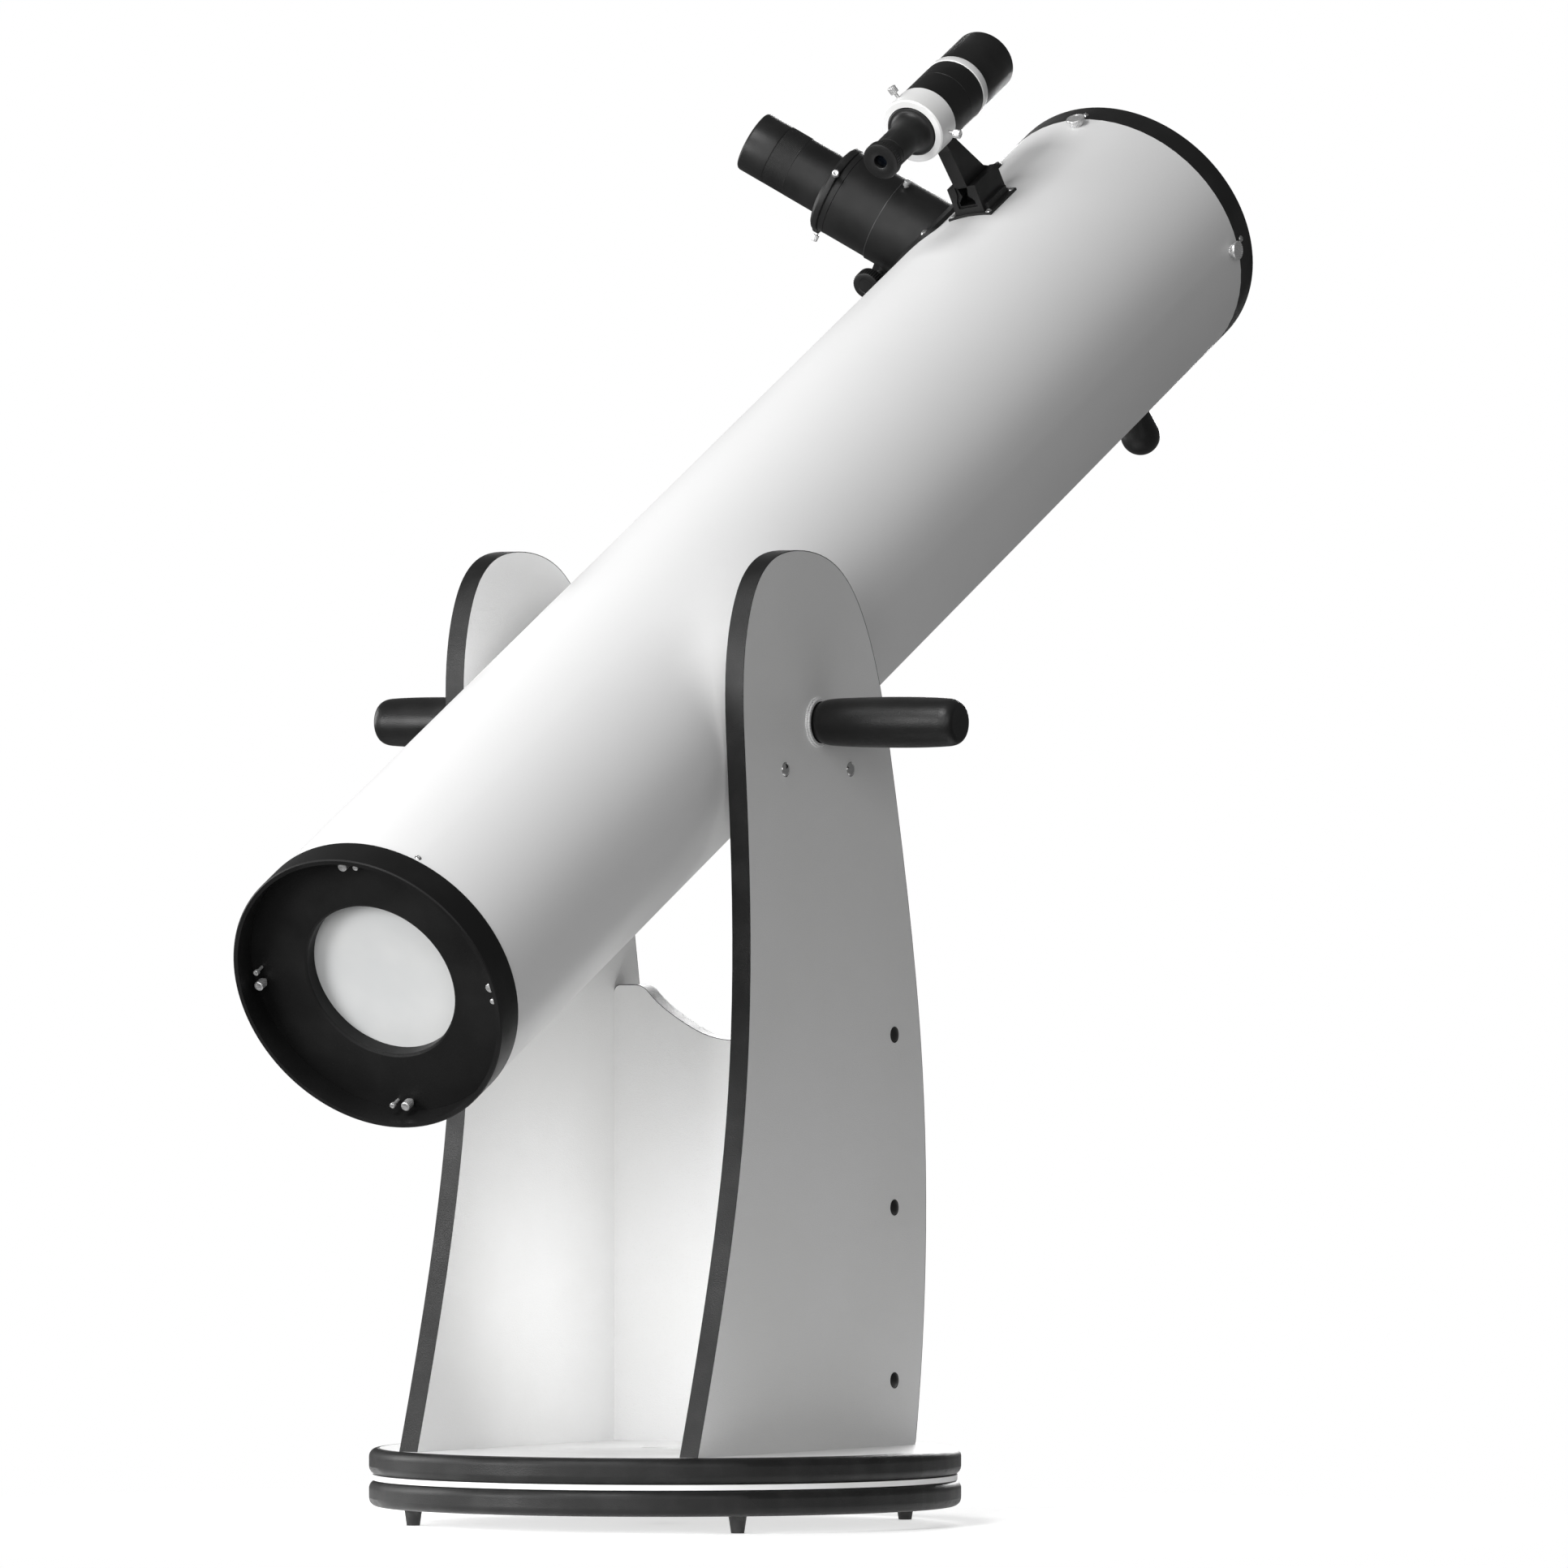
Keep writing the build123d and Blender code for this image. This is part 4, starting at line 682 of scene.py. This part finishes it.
def focus_wheels():
    """Knurled wheels on both ends of the pinion."""
    pin = Vector(joints["focus_knob_turn"]["pos_m"])
    knobs = Mesh()
    for hand in (-1, 1):
        here = place(pin + TUBE_DIR * hand * 0.0395, TUBE_DIR * hand, axis_of(FOCUS, 1))
        profile = bevelled([(0.0025, -0.004), (0.006, -0.004), (0.006, 0), (0.0122, 0)], 0.0006)
        for k in range(7):
            profile.append((0.0122, 0.0012 + 0.0076 * k / 6))
        profile += [(0.0116, 0.0096), (0.0110, 0.010), (0.0072, 0.010), (0.0066, 0.0095), (0, 0.0095)]
        knobs.turn(here, profile, 216, knurl(36, 0.0005, 0.0011, 0.0089))
    knobs.finish("focus_wheels", "focus_shaft", ["focus_knobs"], [KNOB], "black_plastic")


def eyepiece():
    """Barrel with a band of diamond knurl between two grooves, and its lenses."""
    radius, end = EYEPIECE_R, EYEPIECE_END
    barrel = Mesh()

    def diamond(angle, height, _radius):
        if not KNURL_FROM <= height <= KNURL_TO:
            return 0.0
        step = (height - KNURL_FROM) / 0.0014 * pi
        return -0.00035 * (0.5 - 0.5 * cos(72 * angle + step) * cos(72 * angle - step))

    profile = [(0.024, 0.190), (radius, 0.190), (radius, 0.2457), (radius - 0.0003, 0.2460)]
    for k in range(29):
        profile.append((radius, KNURL_FROM + 0.0196 * k / 28))
    profile += [(radius - 0.0003, 0.2660), (radius, 0.2663), (radius, end - 0.0026),
                (radius - 0.0005, end - 0.0012), (radius - 0.0013, end - 0.0004), (radius - 0.0026, end),
                (0.0185, end), (0.0168, end - 0.0008), (0.0155, end - 0.0022), (0.0150, end - 0.004),
                (0.0200, end - 0.010), (0.024, end - 0.010), (0.024, 0.190)]
    barrel.turn(FOCUS, profile, 432, diamond)
    barrel.finish("eyepiece_shell", "eyepiece", ["eyepiece_barrel"], [FOCUS_BLACK], "black_anodised", 30)

    lenses = Mesh()
    face = [(0, end - 0.007), (0.0149, end - 0.007), (0.0149, end - 0.0045)]
    for k in range(1, 9):
        r = 0.0149 * (1 - k / 8)
        face.append((r, end - 0.0045 + 0.0014 * (1 - (r / 0.0149) ** 2)))
    lenses.turn(FOCUS, face, 64)
    field = [(0, 0.202), (0.008, 0.2016), (0.014, 0.201), (0.0239, 0.198), (0.0239, 0.194), (0.014, 0.1945),
             (0, 0.1950)]
    lenses.turn(FOCUS, field, 64)
    lenses.finish("eyepiece_glass", "eyepiece", ["eyepiece_lenses"], [LENS], "lens")


# ---------------------------------------------------------------- finder
def finder_thumbscrews():
    """Two knurled thumbscrews and a spring plunger round the adjusting ring."""
    middle = (RING_FROM + RING_TO) / 2
    screws = Mesh()
    for angle in (64.0, 194.0):
        thumb_head(screws, spoke(FINDER, angle, FINDER_R + 0.0006, middle), 0.0038, 0.0064, 0.0044, 0.0015,
                   0.0064, 18)
    thumb_head(screws, spoke(FINDER, 309.0, FINDER_R + 0.0006, middle), 0.0044, 0.004, 0.0, 0.003,
               0.0064, 20)
    screws.finish("finder_thumbscrews", "finder", ["finder_screws"], [NICKEL], "chrome")


def finder_tube():
    """Eye end, flared to the seat in the adjusting ring, and the wider tube beyond it."""
    body = Mesh()
    neck, seat_r, seat = 0.0139, 0.0212, RING_FROM - 0.0005
    profile = [(0.0114, 0.008), (neck - 0.0004, 0.008), (neck, 0.0084), (neck, 0.0150),
               (neck - 0.0003, 0.0152), (neck - 0.0003, 0.0157), (neck, 0.0159), (neck, seat - 0.0159),
               (neck + 0.0001, seat - 0.0130), (neck + 0.0005, seat - 0.0094), (neck + 0.0013, seat - 0.0054),
               (neck + 0.0026, seat - 0.0029), (0.0180, seat - 0.0011), (0.0186, seat - 0.0008),
               (0.0206, seat - 0.0005), (seat_r, seat), (seat_r, SLEEVE_TO + 0.0003),
               (FINDER_R - 0.0002, SLEEVE_TO + 0.0003), (FINDER_R, SLEEVE_TO + 0.0005), (FINDER_R, BAND_FROM),
               (0.0244, BAND_FROM), (0.0244, SLEEVE_TO + 0.004), (0.019, SLEEVE_TO + 0.002),
               (0.019, seat + 0.0026), (0.0114, seat - 0.0034), (0.0114, 0.008)]
    body.turn(FINDER, profile, 128)
    body.finish("finder_tube", "finder", ["finder_body"], [FINDER_BLACK], "black_anodised", 30)


def band_and_hood():
    band = Mesh()
    out = FINDER_R + 0.0004
    band.turn(FINDER, [(0.023, BAND_FROM), (out - 0.0008, BAND_FROM), (out, BAND_FROM + 0.0008),
                       (out, BAND_TO - 0.0014), (out - 0.0004, BAND_TO - 0.0006), (out - 0.0010, BAND_TO),
                       (0.023, BAND_TO), (0.023, BAND_FROM)], 128)
    band.finish("finder_white_band", "finder", ["finder_band"], [WHITE], "white_plastic", 30)

    hood = Mesh()
    hood.turn(FINDER, [(0.0242, BAND_TO), (HOOD_R, BAND_TO), (HOOD_R, HOOD_TO - 0.0009),
                       (HOOD_R - 0.0003, HOOD_TO - 0.0003), (HOOD_R - 0.0008, HOOD_TO), (0.0248, HOOD_TO),
                       (0.0242, HOOD_TO - 0.0007), (0.0242, BAND_TO)], 128)
    hood.finish("dew_hood", "finder", ["finder_dew_shield"], [FINDER_BLACK], "black_anodised", 30)


def finder_glass():
    """Objective in the hood and the small lens in the eyecup."""
    glass = Mesh()
    front = [(0, 0.0015), (0.012, 0.0019), (0.02295, 0.003), (0.02295, 0.007), (0.018, 0.0076),
             (0.010, 0.0082), (0, 0.0085)]
    glass.turn(lift(FINDER, BAND_FROM), front, 64)
    rear = [(0, 0.008), (0.005, 0.0083), (0.00955, 0.009), (0.00955, 0.012), (0.005, 0.0131), (0, 0.0135)]
    glass.turn(FINDER, rear, 48)
    glass.finish("finder_glass", "finder", ["finder_lenses"], [LENS], "lens")


def eyecup():
    """Ribbed cup with a stepped throat."""
    cup = Mesh()

    def ribs(angle, height, radius):
        if height < 0.0018 or height > 0.0066 or radius < 0.0155:
            return 0
        return -0.00035 * (0.5 - 0.5 * cos(48 * angle))

    profile = [(0.0058, 0.0004), (0.0064, 0), (0.0146, 0), (0.0155, 0.0004), (0.0159, 0.0012)]
    for k in range(5):
        profile.append((0.0159, 0.0018 + 0.0048 * k / 4))
    profile += [(0.0159, 0.0071), (0.0152, 0.008), (0.0113, 0.008), (0.0113, 0.022), (0.0096, 0.022),
                (0.0096, 0.005), (0.0058, 0.003), (0.0058, 0.0004)]
    cup.turn(FINDER, profile, 192, ribs)
    cup.finish("finder_eyecup", "finder_eyecup", ["finder_eyepiece"], [KNOB], "black_plastic")


def shoe_lock():
    lock = Mesh()
    turning = joints["shoe_lock_turn"]
    spot = place(Vector(turning["pos_m"]), Vector(turning["axis"]), TUBE_DIR)
    thumb_head(lock, spot, 0.006, 0.005, 0.0015, 0.002, 0.0042, 22)
    lock.finish("shoe_lock", "shoe_lock", ["shoe_lock_screw"], [NICKEL], "chrome")


for make in (black_bore, skin_screws, rocker_fasteners, spider_thumbscrews, cell_screws, secondary_adjusters,
             studs, primary, focus_lock, focuser_collar, focus_wheels, eyepiece, finder_thumbscrews,
             finder_tube, band_and_hood, finder_glass, eyecup, shoe_lock):
    make()


# ---------------------------------------------------------------- floor, light and camera
FILL = 0.165
BAY = ((0.06, -0.21, 0.14), (-0.06, -0.02, 0.33), 0.08, 0.2)
# Each lamp's name, place, size and power.
LAMPS = (("left", (-4.6, -0.5, 1.6), 2.6, 104.0), ("left_front", (-2.5, -4.0, 1.0), 2.0, 125.0),
         ("high", (-0.5, -3.6, 4.2), 2.0, 168.0), ("low", (0.6, -4.5, 1.0), 2.0, 45.0),
         ("right", (3.2, -3.6, 1.6), 2.0, 36.0), ("behind", (-1.5, 4.5, 1.8), 2.0, 150.0))


def floor():
    """Pale round floor that fades out, so that the sky behind stays white down to the horizon."""
    m = Nodes("floor_pale", (0.95, 0.95, 0.95), 0.8, specular=0.1)
    m.tint(m.noise(0.8, 3), (0.93, 0.93, 0.93))
    m.shader.inputs["Emission Color"].default_value = (1, 1, 1, 1)
    m.shader.inputs["Emission Strength"].default_value = 0.3
    middle = m.tree.nodes.new("ShaderNodeVectorMath")
    middle.operation = "LENGTH"
    m.tree.links.new(m.coords, middle.inputs[0])
    m.tree.links.new(m.span(middle.outputs["Value"], 0.25, 0.8, 1.0, 0.0), m.shader.inputs["Alpha"])
    reach, count = 1.0, 96
    mesh = bpy.data.meshes.new("floor")
    mesh.from_pydata([(reach * cos(2 * pi * k / count), reach * sin(2 * pi * k / count), 0)
                      for k in range(count)], [], [tuple(range(count))])
    mesh.materials.append(m.material)
    ground = bpy.data.objects.new("floor", mesh)
    ground.location = (0, BASE_Y, 0)
    bpy.context.scene.collection.objects.link(ground)


def area(name, spot, target, size, power):
    """Square lamp that isn't seen itself."""
    data = bpy.data.lights.new(name, "AREA")
    data.shape = "SQUARE"
    data.size = size
    data.energy = power
    lamp = bpy.data.objects.new(name, data)
    lamp.location = spot
    lamp.rotation_mode = "QUATERNION"
    lamp.rotation_quaternion = (Vector(target) - Vector(spot)).to_track_quat("-Z", "Y")
    lamp.visible_camera = False
    bpy.context.scene.collection.objects.link(lamp)


def studio():
    """White backdrop, an even dim fill and soft lamps: the bright ones on the left and high in front."""
    world = bpy.data.worlds.new("studio")
    bpy.context.scene.world = world
    world.use_nodes = True
    nodes, links = world.node_tree.nodes, world.node_tree.links
    nodes["Background"].inputs["Color"].default_value = (1, 1, 1, 1)
    seen = nodes.new("ShaderNodeLightPath")
    strength = nodes.new("ShaderNodeMapRange")
    strength.inputs["To Min"].default_value = FILL
    strength.inputs["To Max"].default_value = 1.0
    links.new(seen.outputs["Is Camera Ray"], strength.inputs["Value"])
    links.new(strength.outputs["Result"], nodes["Background"].inputs["Strength"])
    for name, spot, size, power in LAMPS:
        area(name, spot, (0, -0.1, 0.5), size, power)
    area("bay", *BAY)
    bpy.context.scene.view_settings.view_transform = "Standard"


def camera():
    """Long lens far away, nearly level, a third of a right angle round from straight behind the tube."""
    data = bpy.data.cameras.new("camera")
    data.sensor_width = 36.0
    data.lens = 452.8
    data.clip_end = 100.0
    turn, far, middle_up = radians(30.34), 15.864, 0.6442
    level = Vector((-sin(turn), cos(turn), 0))
    across = Vector((cos(turn), sin(turn), 0))
    aim = level + across * 0.006029 - Vector((0, 0, 1)) * 0.003128
    eye = bpy.data.objects.new("camera", data)
    eye.location = Vector((0, BASE_Y, middle_up)) - level * far
    eye.rotation_mode = "QUATERNION"
    eye.rotation_quaternion = aim.to_track_quat("-Z", "Y")
    bpy.context.scene.collection.objects.link(eye)
    bpy.context.scene.camera = eye


floor()
studio()
camera()
